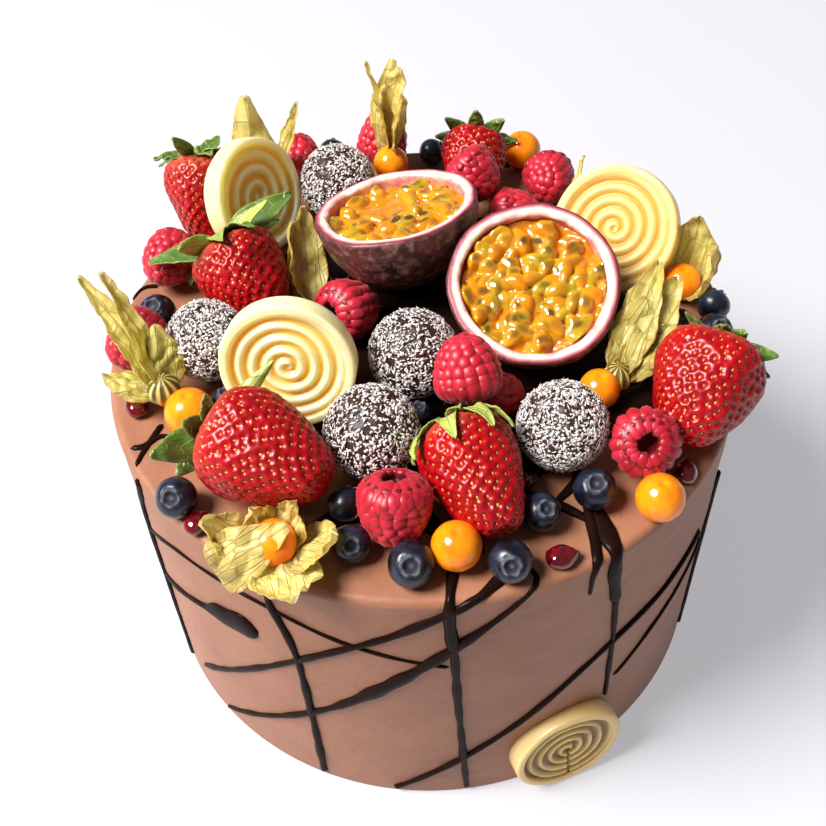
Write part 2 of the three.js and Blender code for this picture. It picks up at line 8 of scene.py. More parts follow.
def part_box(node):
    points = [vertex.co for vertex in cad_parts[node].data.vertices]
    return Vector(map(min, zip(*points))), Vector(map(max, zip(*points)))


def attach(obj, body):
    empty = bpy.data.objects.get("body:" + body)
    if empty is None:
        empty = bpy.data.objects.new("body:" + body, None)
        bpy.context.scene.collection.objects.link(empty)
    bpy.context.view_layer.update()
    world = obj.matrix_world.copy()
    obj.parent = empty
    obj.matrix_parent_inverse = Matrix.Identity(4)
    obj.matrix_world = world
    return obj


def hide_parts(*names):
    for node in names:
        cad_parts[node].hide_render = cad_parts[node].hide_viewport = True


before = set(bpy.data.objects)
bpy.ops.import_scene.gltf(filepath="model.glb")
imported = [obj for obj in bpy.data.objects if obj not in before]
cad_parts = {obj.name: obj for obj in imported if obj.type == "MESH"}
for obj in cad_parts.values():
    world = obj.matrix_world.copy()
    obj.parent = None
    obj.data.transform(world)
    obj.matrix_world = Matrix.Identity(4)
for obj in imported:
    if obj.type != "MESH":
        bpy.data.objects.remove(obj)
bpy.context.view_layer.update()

mm = 0.001
golden = (math.sqrt(5) - 1) / 2
cakeRadius = 100.0
icingTop = 120.0
rimRadius = 2.5


# Numbers and forms. Everything is worked out in millimetres and turned to metres when a mesh is made.

def colour(red, green, blue):
    # a screen colour from 0 to 255 as the linear one that the shaders take
    parts = [v / 255 for v in (red, green, blue)]
    linear = [p / 12.92 if p <= 0.04045 else ((p + 0.055) / 1.055) ** 2.4 for p in parts]
    return (*linear, 1.0)


def unit(vectors):
    return vectors / np.maximum(np.linalg.norm(vectors, axis=-1, keepdims=True), 1e-9)


def uneven(points, size, seed, octaves=2):
    # smooth uneven values, about -1 to 1, whose lumps are size millimetres across
    rng = np.random.default_rng(seed)
    total = np.zeros(points.shape[:-1])
    for octave in range(octaves):
        for _ in range(6):
            aim = unit(rng.normal(size=3)) * 2 * np.pi / size * 2**octave * rng.uniform(0.6, 1.4)
            total += np.sin(points @ aim + rng.uniform(0, 2 * np.pi)) / 2**octave
    return total / 3


def ease(low, high, value):
    share = np.clip((value - low) / (high - low), 0, 1)
    return share * share * (3 - 2 * share)


def turned(*steps):
    # three turns in a row, each in degrees about an axis
    first, second, third = [Matrix.Rotation(math.radians(a), 3, axis) for a, axis in steps]
    return np.array(first @ second @ third)


def turnTo(heading=0, rise=90, spin=0):
    # the turn that points +Z to a heading in the plan and a rise above it
    return turned((heading, "Z"), (90 - rise, "Y"), (spin, "Z"))


def smoothLine(stops, count):
    # evenly spaced points on a smooth line through the stops
    stops = np.array(stops, float)
    ends = np.vstack([2 * stops[0] - stops[1], stops, 2 * stops[-1] - stops[-2]])
    t = np.linspace(0, 1, 24, endpoint=False)[:, None]
    spans = []
    for a, b, c, d in zip(ends, ends[1:], ends[2:], ends[3:]):
        curve = 2 * b + (c - a) * t + (2 * a - 5 * b + 4 * c - d) * t**2
        spans.append(0.5 * (curve + (3 * b - 3 * c + d - a) * t**3))
    line = np.vstack([*spans, stops[-1:]])
    steps = np.linalg.norm(np.diff(line, axis=0), axis=1)
    length = np.concatenate([[0], np.cumsum(steps)])
    even = np.linspace(0, length[-1], count)
    return np.stack([np.interp(even, length, line[:, k]) for k in range(line.shape[1])], 1)


def turns(columns):
    return 2 * np.pi * np.arange(columns) / columns


def ringsOf(radius, height, columns):
    # a ring of points about the axis for each radius and height
    x, y = radius[:, None] * np.cos(turns(columns)), radius[:, None] * np.sin(turns(columns))
    return np.stack([x, y, np.broadcast_to(height[:, None], x.shape)], -1)


def turnedRings(outline, columns, rows):
    # rings of points for an outline of (radius, height) from the lower pole to the upper one
    radius, height = smoothLine(outline, rows).T
    return ringsOf(np.maximum(radius, 0.02), height, columns)


def arc(radius, angles, centre=(0, 0)):
    return [(centre[0] + radius * math.cos(a), centre[1] + radius * math.sin(a)) for a in np.radians(angles)]


def roundRings(size, columns, rows):
    return turnedRings(arc(size, np.linspace(-90, 90, 13)), columns, rows)


def ringNormals(rings):
    around = np.roll(rings, -1, 1) - np.roll(rings, 1, 1)
    return unit(np.cross(around, np.gradient(rings, axis=0)))


def lumpy(rings, depth, size, seed):
    return rings + ringNormals(rings) * (depth * uneven(rings, size, seed))[..., None]


def widened(rings, share):
    # rings wider by a share of their radius
    return rings * np.stack([1 + share, 1 + share, np.ones(share.shape)], -1)


def gridFaces(rows, columns, wrap):
    row = np.arange(rows - 1)[:, None]
    column = np.arange(columns if wrap else columns - 1)[None, :]
    here = row * columns + column
    beside = row * columns + (column + 1) % columns
    return np.stack([here, beside, beside + columns, here + columns], -1).reshape(-1, 4)


def closeEnds(values):
    # the first and the last ring become one point each
    middle = values[1:-1].reshape(-1, *values.shape[2:])
    return np.concatenate([values[:1].mean(1), middle, values[-1:].mean(1)])


def closedForm(rings, **tones):
    count, columns = rings.shape[:2]
    here = np.arange(columns)
    beside = (here + 1) % columns
    top = 1 + (count - 3) * columns
    low = np.stack([np.zeros_like(here), beside + 1, here + 1], 1)
    high = np.stack([top + here, top + beside, np.full_like(here, 1 + (count - 2) * columns)], 1)
    faces = [gridFaces(count - 2, columns, True) + 1, low, high]
    return {"points": closeEnds(rings), "faces": faces, **{k: closeEnds(v) for k, v in tones.items()}}


def closedSheet(upper, lower, **tones):
    # two grids of points, one over the other, joined along their edges
    rows, columns = upper.shape[:2]
    count = rows * columns
    number = np.arange(count).reshape(rows, columns)
    rim = np.concatenate([number[:, 0], number[-1, 1:], number[-2::-1, -1], number[0, -2::-1]])
    sides = np.stack([rim[:-1] + count, rim[1:] + count, rim[1:], rim[:-1]], 1)
    grid = gridFaces(rows, columns, False)
    points = np.concatenate([upper.reshape(-1, 3), lower.reshape(-1, 3)])
    doubled = {k: np.tile(v.reshape(-1), 2) for k, v in tones.items()}
    return {"points": points, "faces": [grid[:, ::-1], grid + count, sides], **doubled}


def ball(columns, rows):
    angle = np.radians(np.linspace(-90, 90, rows))
    return closedForm(ringsOf(np.cos(angle), np.sin(angle), columns))


def framesOn(normals, spins, along=None):
    # a frame for each normal, which is its +Z; spins turn it about the normal
    z = unit(normals)
    if along is None:
        along = np.where(np.abs(z[:, 2:]) < 0.9, [[0.0, 0.0, 1.0]], [[1.0, 0.0, 0.0]])
    x = unit(np.cross(along, z))
    y = np.cross(z, x)
    c, s = np.cos(spins)[:, None], np.sin(spins)[:, None]
    return np.stack([x * c + y * s, y * c - x * s, z], 2)


def scattered(form, frames, places, sizes, **tones):
    # a copy of a small form at each place; tones give one value for each copy
    count, each = len(places), len(form["points"])
    points = np.einsum("kij,kpj->kpi", frames, form["points"][None] * sizes[:, None, :])
    points = (points + places[:, None]).reshape(-1, 3)
    shift = (np.arange(count) * each)[:, None, None]
    faces = [(f[None] + shift).reshape(-1, f.shape[1]) for f in form["faces"]]
    known = {k: np.tile(v, count) for k, v in form.items() if k not in ("points", "faces")}
    return {"points": points, "faces": faces, **known, **{k: np.repeat(v, each) for k, v in tones.items()}}


def moved(form, turn=None, shift=(0, 0, 0)):
    points = form["points"] if turn is None else form["points"] @ turn.T
    return {**form, "points": points + np.array(shift, float)}


def lying(form, heading, rise, start=(0, 0, 0), roll=0):
    # turns a blade so that its +X runs to a heading in the plan and a rise above it
    return moved(form, turned((heading, "Z"), (-rise, "Y"), (roll, "X")), start)


def rollTowards(aim, heading, rise):
    # how far a blade rolls about its run until one of its faces looks to the aim as nearly as it can
    turn, lift = math.radians(heading), math.radians(rise)
    run = np.array([math.cos(turn) * math.cos(lift), math.sin(turn) * math.cos(lift), math.sin(lift)])
    side = np.array([-math.sin(turn), math.cos(turn), 0])
    up = np.cross(run, side)
    roll = math.degrees(math.atan2(-(side @ aim), up @ aim))
    return (roll + 90) % 180 - 90


def topping(x, y, heading=0, rise=90, **more):
    # a place on the cake, the way a topping's +Z points there, and what else its form takes
    return {"at": (x, y), "heading": heading, "rise": rise, **more}


def seat(part, look, resting):
    # the turn and the shift that set a form on its place, its lowest point at that of the CAD node
    turn = turnTo(look["heading"], look["rise"], look.get("spin", 0))
    lowest = min((form["points"] @ turn.T)[:, 2].min() for form in resting)
    return turn, (*look["at"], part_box(part)[0].z / mm - lowest)


def added(name, data):
    made = bpy.data.objects.new(name, data)
    bpy.context.scene.collection.objects.link(made)
    return made


def makePiece(name, forms, finish, stands=()):
    # one object of all the forms, which may carry values at their points for the shader
    counts = [len(form["points"]) for form in forms]
    shifts = np.concatenate([[0], np.cumsum(counts)[:-1]]).astype(int)
    faces = [f + shift for form, shift in zip(forms, shifts) for f in form["faces"]]
    points = np.concatenate([form["points"] for form in forms]) * mm
    corners = np.concatenate([f.reshape(-1) for f in faces])
    sizes = np.concatenate([np.full(len(f), f.shape[1]) for f in faces])
    mesh = bpy.data.meshes.new(name)
    mesh.vertices.add(len(points))
    mesh.vertices.foreach_set("co", points.astype(np.float32).reshape(-1))
    mesh.loops.add(len(corners))
    mesh.loops.foreach_set("vertex_index", corners.astype(np.int32))
    mesh.polygons.add(len(sizes))
    starts = np.concatenate([[0], np.cumsum(sizes)[:-1]])
    mesh.polygons.foreach_set("loop_start", starts.astype(np.int32))
    for tone in sorted({k for form in forms for k in form} - {"points", "faces"}):
        values = [form.get(tone, np.zeros(count)) for form, count in zip(forms, counts)]
        layer = mesh.attributes.new(tone, "FLOAT", "POINT")
        layer.data.foreach_set("value", np.concatenate(values).astype(np.float32))
    mesh.update(calc_edges=True)
    mesh.validate()
    mesh.shade_smooth()
    mesh.materials.append(finish)
    piece = added(name, mesh)
    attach(piece, "root")
    if stands:
        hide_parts(*stands)
    return piece


# Shaders. The groups hold what several finishes share; each finish places them with its own values.

def newGroup(name, inputs, outputs):
    # inputs and outputs have start values, which are one value, a vector of three or a colour of four
    group = bpy.data.node_groups.new(name, "ShaderNodeTree")
    kinds = {1: "NodeSocketFloat", 3: "NodeSocketVector", 4: "NodeSocketColor"}
    for way, sockets in (("INPUT", inputs), ("OUTPUT", outputs)):
        for socket, start in sockets.items():
            made = group.interface.new_socket(socket, in_out=way, socket_type=kinds[np.size(start)])
            made.default_value = start
    return group, group.nodes.new("NodeGroupInput").outputs, group.nodes.new("NodeGroupOutput").inputs


def fill(tree, made, inputs):
    # sets a node's inputs, by name or as i0, i1 and so on, to values or to other nodes' outputs
    for key, value in inputs.items():
        socket = made.inputs[int(key[1:]) if key[0] == "i" and key[1:].isdigit() else key.replace("_", " ")]
        if isinstance(value, bpy.types.NodeSocket):
            tree.links.new(value, socket)
        else:
            socket.default_value = value
    return made


def node(tree, kind, settings=None, **inputs):
    made = tree.nodes.new("ShaderNode" + kind)
    for key, value in (settings or {}).items():
        setattr(made, key, value)
    return fill(tree, made, inputs)


def maths(tree, operation, first, second):
    return node(tree, "Math", {"operation": operation}, i0=first, i1=second).outputs[0]


def ranged(tree, value, low=0.0, high=1.0, first=0.0, last=1.0):
    # the value as a share of the way from low to high, given as first to last
    made = node(tree, "MapRange", Value=value, From_Min=low, From_Max=high, To_Min=first, To_Max=last)
    return made.outputs[0]


def mixed(tree, share, first, second):
    made = node(tree, "Mix", {"data_type": "RGBA"}, i0=share, i6=first, i7=second)
    return made.outputs[2]


def mottleGroup():
    # two colours in soft patches
    white, blur = (1, 1, 1, 1), 0.14
    inputs = {"First": white, "Second": white, "Scale": 100.0, "Amount": 1.0, "Middle": 0.5}
    group, given, made = newGroup("Mottle", inputs, {"Color": white})
    place = node(group, "TexCoord").outputs["Object"]
    noise = node(group, "TexNoise", Vector=place, Scale=given["Scale"], Detail=5.0, Roughness=0.6).outputs[0]
    low, high = [maths(group, way, given["Middle"], blur) for way in ("SUBTRACT", "ADD")]
    mask = maths(group, "MULTIPLY", ranged(group, noise, low, high), given["Amount"])
    group.links.new(mixed(group, mask, given["First"], given["Second"]), made["Color"])
    return group


def reliefGroup():
    # fine unevenness as a normal
    inputs = {"Scale": 500.0, "Depth": 0.1 * mm, "Stretch": (1, 1, 1)}
    group, given, made = newGroup("Fine relief", inputs, {"Normal": (0, 0, 0)})
    place = node(group, "TexCoord").outputs["Object"]
    stretched = node(group, "VectorMath", {"operation": "MULTIPLY"}, i0=place, i1=given["Stretch"]).outputs[0]
    noise = node(group, "TexNoise", Vector=stretched, Scale=given["Scale"], Detail=4.0, Roughness=0.55)
    bump = node(group, "Bump", Strength=1.0, Distance=given["Depth"], Height=noise.outputs[0])
    group.links.new(bump.outputs[0], made["Normal"])
    return group


def veinGroup():
    # long veins joined by a fine net, from the distances along and across a blade in millimetres
    inputs = {"Along": 0.0, "Across": 0.0, "Net": 0.5, "Long": 0.4}
    group, given, made = newGroup("Veins", inputs, {"Mask": 0.0, "Normal": (0, 0, 0)})
    thin, depth, stretch = 0.06, 0.3 * mm, (0.35, 1.0, 1.0)
    place = node(group, "CombineXYZ", i0=given["Along"], i1=given["Across"], i2=0.0).outputs[0]
    longer = node(group, "VectorMath", {"operation": "MULTIPLY"}, i0=place, i1=stretch).outputs[0]
    cells = node(group, "TexVoronoi", {"feature": "DISTANCE_TO_EDGE"}, Vector=longer, Scale=given["Net"],
                 Randomness=0.9).outputs[0]
    fold = maths(group, "PINGPONG", maths(group, "MULTIPLY", given["Across"], given["Long"]), 0.5)
    net = ranged(group, cells, 0.0, thin, 0.8, 0.0)
    mask = maths(group, "MAXIMUM", net, ranged(group, fold, 0.0, thin, 1.0, 0.0))
    bump = node(group, "Bump", Strength=0.8, Distance=depth, Height=mask).outputs[0]
    group.links.new(mask, made["Mask"])
    group.links.new(bump, made["Normal"])
    return group


mottle = mottleGroup()
relief = reliefGroup()
veins = veinGroup()


def placed(tree, group, **inputs):
    made = tree.nodes.new("ShaderNodeGroup")
    made.node_tree = group
    return fill(tree, made, inputs).outputs


def mottled(tree, first, second, scale, amount=1.0, middle=0.5):
    # amount is how much the second colour covers in its patches, and middle is smaller for wider patches
    made = placed(tree, mottle, First=first, Second=second, Scale=scale, Amount=amount, Middle=middle)
    return made["Color"]


def tone(tree, name):
    return node(tree, "Attribute", {"attribute_name": name}).outputs["Fac"]


def finishOf(name, base, normal=None, soft=None, **settings):
    # a Principled finish. base, normal and a setting may be functions that build their part of the tree. soft
    # is how much light goes under the skin and how many millimetres far in red, green and blue
    made = bpy.data.materials.new(name)
    made.use_nodes = True
    tree = made.node_tree
    if soft:
        weight, reach = soft
        settings |= {"Subsurface_Weight": weight, "Subsurface_Radius": [way * mm for way in reach]}
        settings["Subsurface_Scale"] = 1.0
    parts = {"Base_Color": base, "Normal": normal, **settings}
    inputs = {key: part(tree) if callable(part) else part for key, part in parts.items() if part is not None}
    fill(tree, tree.nodes["Principled BSDF"], inputs)
    return made


def patches(*look):
    return lambda tree: mottled(tree, *look)


def fine(scale, depth, stretch=(1, 1, 1)):
    return lambda tree: placed(tree, relief, Scale=scale, Depth=depth * mm, Stretch=stretch)["Normal"]


# The cake: icing, drizzle and pomegranate seeds

cake = {
    "columns": 320,
    "wallRows": 84,
    "topRings": 56,
    "foot": [(0, 0), (60, 0), (97, 0), (99.2, 0), (99.8, 0.5)],
    # the strokes of the spatula on the wall and the waves on the top: how deep and how large. The strokes are
    # longer round the wall than up it, and there are fine ones, by their share, stretch and size
    "strokes": 0.28,
    "strokeSize": 46,
    "strokeStretch": 3.4,
    "fineStrokes": (0.35, 6, 14),
    "waves": 0.22,
    "waveSize": 26,
    # how far the wall lies within the cake's radius, which leaves room for the strokes
    "inset": 0.2,
    "icing": colour(158, 106, 79),
    "icingDeep": colour(138, 89, 63),
}


def icingForm():
    edge, side = rimRadius, cakeRadius - cake["inset"]
    wall = [(side, z) for z in np.linspace(1.5, icingTop - edge, cake["wallRows"])]
    rim = arc(edge, np.linspace(10, 90, 8), (side - edge, icingTop - edge))
    top = [(r, icingTop) for r in np.linspace(side - edge - 1, 0.4, cake["topRings"])]
    radius, height = np.array([*cake["foot"], *wall, *rim, *top, (0, icingTop)]).T
    rings = ringsOf(radius, height, cake["columns"])
    outward = rings * [1, 1, 0] / np.maximum(radius, 1)[:, None, None]
    share, stretch, size = cake["fineStrokes"]
    strokes = uneven(rings * [1, 1, cake["strokeStretch"]], cake["strokeSize"], 3)
    strokes = strokes + share * uneven(rings * [1, 1, stretch], size, 4)
    onWall = (ease(0.5, 4, height) * ease(icingTop - 0.5, icingTop - 6, height))[:, None]
    onTop = (height > icingTop - 0.01)[:, None] * ease(97, 93, radius)[:, None]
    rings = rings - outward * (cake["strokes"] * (0.6 + 0.4 * strokes) * onWall)[..., None]
    rings[..., 2] += cake["waves"] * uneven(rings, cake["waveSize"], 5) * onTop
    return closedForm(rings)


icingFinish = finishOf(
    "Milk chocolate icing", patches(cake["icing"], cake["icingDeep"], 32, 0.7), fine(190, 0.4, (1, 1, 1.3)),
    soft=(0.12, (4, 2, 1)), Roughness=0.5, Specular_IOR_Level=0.4,
)
makePiece("icing", [icingForm()], icingFinish, ["cake_body"])
print("icing made")

# Each strand: stops of (angle about the axis in degrees, run below the rim in millimetres) and a width, or
# widths spread evenly over its length
drizzle = {
    "width": 2.5,
    "height": 1.05,
    "front": [
        ([(-116.4, 3), (-118, 13), (-114.7, 43), (-114, 118.5)], 2.6),
        ([(-86.5, -14), (-88.2, 3), (-87.4, 30), (-86.9, 57), (-85.3, 118.5)], (3.4, 3.4, 2.4, 2.4, 2.3)),
        ([(-56.5, -19), (-57.5, -13), (-59.6, -3), (-60, 8), (-58.5, 26)], (3, 6, 5.2, 3.8, 3)),
        ([(-58.5, 24), (-57.4, 50), (-56.6, 88)], 2),
        ([(-145, 101), (-114.2, 41), (-96, 14.6), (-85, 1), (-78.4, -6.6)], (2.2, 2.2, 2.4, 2.8, 3.6)),
        ([(-139.4, 118), (-114.5, 75.3), (-89, 26.4), (-75.2, 1), (-74, -6), (-76, -11)],
         (2, 2.2, 2.6, 5.6, 3, 0.8)),
        ([(-99.6, 118), (-75.4, 77), (-59.1, 52.4), (-42.6, 44), (-31.5, 39)], 2.5),
        ([(-55.4, 77), (-44.7, 64.6), (-31.2, 54.8), (-26.7, 53.7)], 1.8),
        ([(-23.3, 26), (-23.3, 118)], 2.5),
        ([(-153, 34), (-138.4, 18.5), (-121, 15.6), (-103.9, 24.6), (-88.2, 34)], 1.6),
        ([(-153.4, 61), (-135.2, 41.8), (-127, 36.5), (-122, 34.5)], (2, 2, 2.2, 2.2, 2.4, 3, 8.5, 11, 10)),
        ([(-148.7, 1), (-153.2, 34), (-155, 118.5)], 2.5),
        ([(-155.5, -2), (-154.7, -6), (-155.5, -12), (-152.7, -16.6)], 1.8),
        ([(-151, -1), (-154.5, -7), (-158.6, -13.8)], 1.8),
        ([(165.4, 1), (162, -2.5), (160.8, -7)], 1.8),
        ([(-57.4, -19), (-60.8, -9), (-64, 2), (-64.5, 15)], (3, 3.6, 2, 1.2)),
    ],
    # what shows of it, and of painted shade, between the toppings: stops in plan and widths
    "top": [
        ([(26, -63), (35, -68.5), (45, -76), (47, -82)], (2, 3.6, 2.4, 1)),
        ([(35, -68.5), (41, -62), (43, -56)], (2, 3.4, 3)),
        # painted shade: these wide puddles are dark sheets in the gaps between the toppings, as well as
        # drizzle
        ([(-20, 13), (0, 2), (16, -18), (22, -30)], (8, 13, 12, 7)),
        ([(12, -50), (26, -42), (50, -38), (68, -28), (74, -8)], (6, 12, 15, 12, 6)),
        ([(-52, 0), (-52, -12), (-62, -30)], (8, 9, 6)),
        ([(-46, 44), (-34, 30), (-30, 12)], (7, 12, 8)),
        ([(56, 4), (66, 0), (80, 4)], (8, 14, 8)),
        ([(-36, -74), (-14, -66), (2, -76), (14, -84)], (4, 10, 9, 4)),
    ],
    # the wide dark puddle that the middle toppings stand in: drizzle, and painted shade for the dark gaps
    # between the toppings
    "pool": {"at": (4, 2), "radius": 65, "height": 0.5, "lobes": 0.07, "lobeSize": 60},
    # how deep a strand's foot lies in the icing, the length of a step along it, and how its width swells:
    # a share of it, and millimetres from swell to swell over two pi
    "sunk": 0.25,
    "step": 1.4,
    "swells": ((0.15, 6), (0.12, 2.3)),
    "colour": colour(22, 9, 6),
    "sheen": colour(32, 15, 11),
}


def backStrands():
    # the same falls and slopes behind as the CAD has, from the same seeded draws
    factor, step, limit = 1664525, 1013904223, 2**32
    state, strands = 7, []
    for angle in range(12, 175, 50):
        state = (state * factor + step) % limit
        start = angle + 6 * state / limit
        strands.append(([(start, -4), (start + 1, 4), (start + 1.5, 118)], drizzle["width"]))
    for first, fall in ((-12, 46), (34, 22), (96, 40)):
        stops = [(first, fall), (first + 34, fall + 14), (first + 72, fall + 60)]
        strands.append((stops, drizzle["width"]))
    return strands


def onIcing(angle, run):
    # places on the icing and the way out of it, round the edge of the top
    turn, sunk = np.radians(angle), drizzle["sunk"]
    radius = np.where(run > 0, cakeRadius, cakeRadius + run) - sunk
    height = np.where(run > 0, icingTop - run, icingTop)
    inRadius, inHeight = cakeRadius - sunk - rimRadius, icingTop - rimRadius
    corner = np.stack([np.maximum(radius - inRadius, 0), np.maximum(height - inHeight, 0)], -1)
    onEdge = (corner > 0).all(-1)
    out = unit(np.where(onEdge[..., None], corner, np.where((run > 0)[..., None], [1.0, 0.0], [0.0, 1.0])))
    radius = np.where(onEdge, inRadius + rimRadius * out[..., 0], radius)
    height = np.where(onEdge, inHeight + rimRadius * out[..., 1], height)
    pairs = (radius, height), (out[..., 0], out[..., 1])
    return [np.stack([away * np.cos(turn), away * np.sin(turn), up], -1) for away, up in pairs]


def strandForm(stops, width, seed):
    flat = [(math.radians(a) * cakeRadius, run) for a, run in stops]
    across, run = smoothLine(flat, strandRows(flat)).T
    return ribbonForm(*onIcing(np.degrees(across / cakeRadius), run), width, seed)


def topStrandForm(stops, width, seed):
    line = smoothLine(stops, strandRows(stops))
    place = np.column_stack([line, np.full(len(line), icingTop - drizzle["sunk"])])
    return ribbonForm(place, np.tile([0.0, 0.0, 1.0], (len(line), 1)), width, seed)


def strandRows(stops):
    return max(14, int(np.linalg.norm(np.diff(stops, axis=0), axis=1).sum() / drizzle["step"]))


def ribbonForm(place, normal, width, seed):
    # a strand with a flat foot and round ends along the places
    length = np.linalg.norm(np.diff(place, axis=0), axis=1).sum()
    side = unit(np.cross(normal, np.gradient(place, axis=0)))
    share = np.linspace(0, 1, len(place))
    stated = np.atleast_1d(width)
    width = np.interp(share, np.linspace(0, 1, len(stated)), stated)
    rng = np.random.default_rng(seed)
    swell = 1
    for much, reach in drizzle["swells"]:
        swell = swell + much * np.sin(share * length / reach + rng.uniform(0, 6))
    nose = 0.55 * np.where(share < 0.5, width[0], width[-1]) / length
    taper = np.sqrt(np.clip(1 - (1 - np.minimum(share, 1 - share) / nose).clip(0) ** 2, 0, 1)).clip(0.04)
    half = width / 2 * swell * taper
    high = drizzle["height"] * np.minimum(1.3, width / 2.5) * (0.8 + 0.2 * swell) * taper
    angles = np.radians(np.linspace(0, 360, 14, endpoint=False))
    lift = np.where(np.sin(angles) > 0, np.sin(angles), 0.25 * np.sin(angles))
    rings = place[:, None] + side[:, None] * (half[:, None] * np.cos(angles))[..., None]
    return closedForm(rings + normal[:, None] * (high[:, None] * lift)[..., None])


def poolForm():
    # a dark sheet of drizzle chocolate under the middle toppings, as painted shade in the gaps between them
    look = drizzle["pool"]
    reach, high = look["radius"], look["height"]
    outline = [(0, -0.3), (reach * 0.8, -0.3), (reach, -0.2), (reach + 0.3, 0.1), (reach - 0.5, high),
               (reach * 0.8, high), (0, high)]
    rings = turnedRings(outline, 200, 30)
    way = unit(rings * [1, 1, 0] + 1e-6)
    rings = widened(rings, look["lobes"] * uneven(way * reach, look["lobeSize"], 12, 3))
    return moved(closedForm(rings), None, (*look["at"], icingTop))


strands = [poolForm()]
strands += [strandForm(*strand, k) for k, strand in enumerate(drizzle["front"] + backStrands())]
strands += [topStrandForm(*strand, k) for k, strand in enumerate(drizzle["top"])]
drizzleFinish = finishOf(
    "Dark chocolate drizzle", patches(drizzle["colour"], drizzle["sheen"], 180, 0.6), fine(420, 0.05),
    Roughness=0.45, Specular_IOR_Level=0.03, Coat_Weight=0.07, Coat_Roughness=0.06,
)
makePiece("drizzle", strands, drizzleFinish)

pomegranate = {
    # each seed: its place, heading and length
    "seeds": [((-88.2, -25.2), 105, 10), ((-65.8, -70.8), 48, 9), ((28, -61.5), 20, 6.5),
              ((34.5, -88), 10, 10), ((73, -61), 80, 9)],
    "outline": [(0, -1), (0.5, -0.86), (0.9, -0.4), (1, 0.1), (0.75, 0.66), (0.4, 0.92), (0, 1)],
    "facets": 5,
    "sharp": 0.35,
    "height": 5.6,
    "red": colour(112, 2, 14),
    "deep": colour(52, 1, 8),
}


def arilForm(at, heading, length):
    rings = turnedRings(pomegranate["outline"], 40, 26)
    facet = np.pi / pomegranate["facets"]
    turn = np.arctan2(rings[..., 1], rings[..., 0])
    facets = np.cos(facet) / np.cos(turn % (2 * facet) - facet)
    rings = widened(rings, pomegranate["sharp"] * (facets - 1))
    rings[..., 1] *= 1 - pomegranate["sharp"] * ease(-0.2, 1, rings[..., 0])
    rings = rings * [length / 2, length * 0.4, pomegranate["height"] / 2]
    return moved(closedForm(rings), turnTo(heading), (*at, icingTop + pomegranate["height"] * 0.4))


arilFinish = finishOf(
    "Pomegranate seed", patches(pomegranate["red"], pomegranate["deep"], 240, 0.9),
    soft=(0.25, (3, 0.5, 0.5)), Roughness=0.08, Coat_Weight=1.0, Coat_Roughness=0.04,
)
makePiece("pomegranate_seeds", [arilForm(*seed) for seed in pomegranate["seeds"]], arilFinish)
print("drizzle and pomegranate seeds made")


# White chocolate discs

# disc_front and disc_right have darker cream and groove colours and disc_back brighter, warmer ones: painted
# shade and painted light for how the key light falls on their faces
discs = {
    "disc_back": topping(-54, 51.8, -33, 23, spin=200, size=19.5, turns=3.5, scatter=2.4,
                         cream=colour(255, 230, 164), groove=colour(255, 196, 84)),
    "disc_centre": topping(-39.6, -28, -96, 17, spin=60, size=20.2),
    "disc_right": topping(65, 27.5, -120, 40, spin=100, size=20.5,
                          cream=colour(236, 206, 134), groove=colour(218, 168, 70)),
    "disc_front": topping(41.3, -93.3, -70, 4, size=19.2, power=0.6, deeper=1.3, slit=2,
                          cream=colour(222, 190, 130), groove=colour(146, 110, 56)),
}
disc = {
    "thickness": 7.5,
    "turns": 4.5,
    "depth": 1.45,
    # the flat border round the spiral, its step down, the hole in the middle and the round of the edge
    "border": 2.3,
    "step": 0.5,
    "hole": 1.2,
    "edge": 0.9,
    "holeDepth": 1.2,
    # a smaller power gives narrower ridges and wider valleys, deeper is a factor for the depth, and slit is
    # the angle of a cut through the ridges
    "power": 1.1,
    "deeper": 1,
    "slit": None,
    "slitDepth": 0.8,
    "cream": colour(255, 236, 180),
    # painted shade: the colour of the grooves
    "groove": colour(248, 204, 100),
    "shade": 0.88,
    "scatter": 1,
    "lumps": 0.12,
    "columns": 150,
    "rings": 84,
}


def discForm(look):
    size, edge, top = look["size"], look["edge"], look["thickness"] / 2
    rim = size - look["border"]
    base = [(0, -top), (size * 0.6, -top), (size - 1, -top), (size - 0.3, -top + 0.3), (size, -top + 1)]
    side = [(size, z) for z in np.linspace(-top + 1.5, top - edge, 6)]
    bend = arc(edge, [20, 45, 70], (size - edge, top - edge))
    face = [(r, top) for r in np.linspace(size - 1, 0.15, look["rings"])]
    radius, height = np.array([*base, *side, *bend, *face, (0, top)]).T
    rings = ringsOf(radius, height, look["columns"])
    away, onFace = radius[:, None], (height > top - 0.01)[:, None]
    turn = np.arange(look["columns"]) / look["columns"]
    phase = (away / (rim / look["turns"]) - turn) % 1
    valley = (0.5 - 0.5 * np.cos(2 * np.pi * phase)) ** look["power"]
    inside = ease(rim + 0.2, rim - 0.9, away) * ease(0.2, 1.6, away)
    rings[..., 2] -= onFace * valley * inside * look["depth"] * look["deeper"]
    rings[..., 2] -= onFace * look["step"] * ease(rim - 0.2, rim - 1.2, away)
    rings[..., 2] -= onFace * look["holeDepth"] * ease(look["hole"], look["hole"] * 0.5, away)
    rings = lumpy(rings, look["lumps"], 16, 9)
    # painted shade: the valleys and the slit take the darker groove colour
    groove = onFace * ease(0.25, 1.0, valley) * inside
    if look["slit"] is not None:
        aside = np.abs((turn * 360 - look["slit"] + 180) % 360 - 180) * np.pi / 180 * away
        cut = ease(0.7, 0.2, aside) * onFace * ease(rim, rim - 0.5, away)
        rings[..., 2] -= look["slitDepth"] * cut * (1 - valley)
        groove = np.maximum(groove, cut)
    return closedForm(rings, tone=groove)


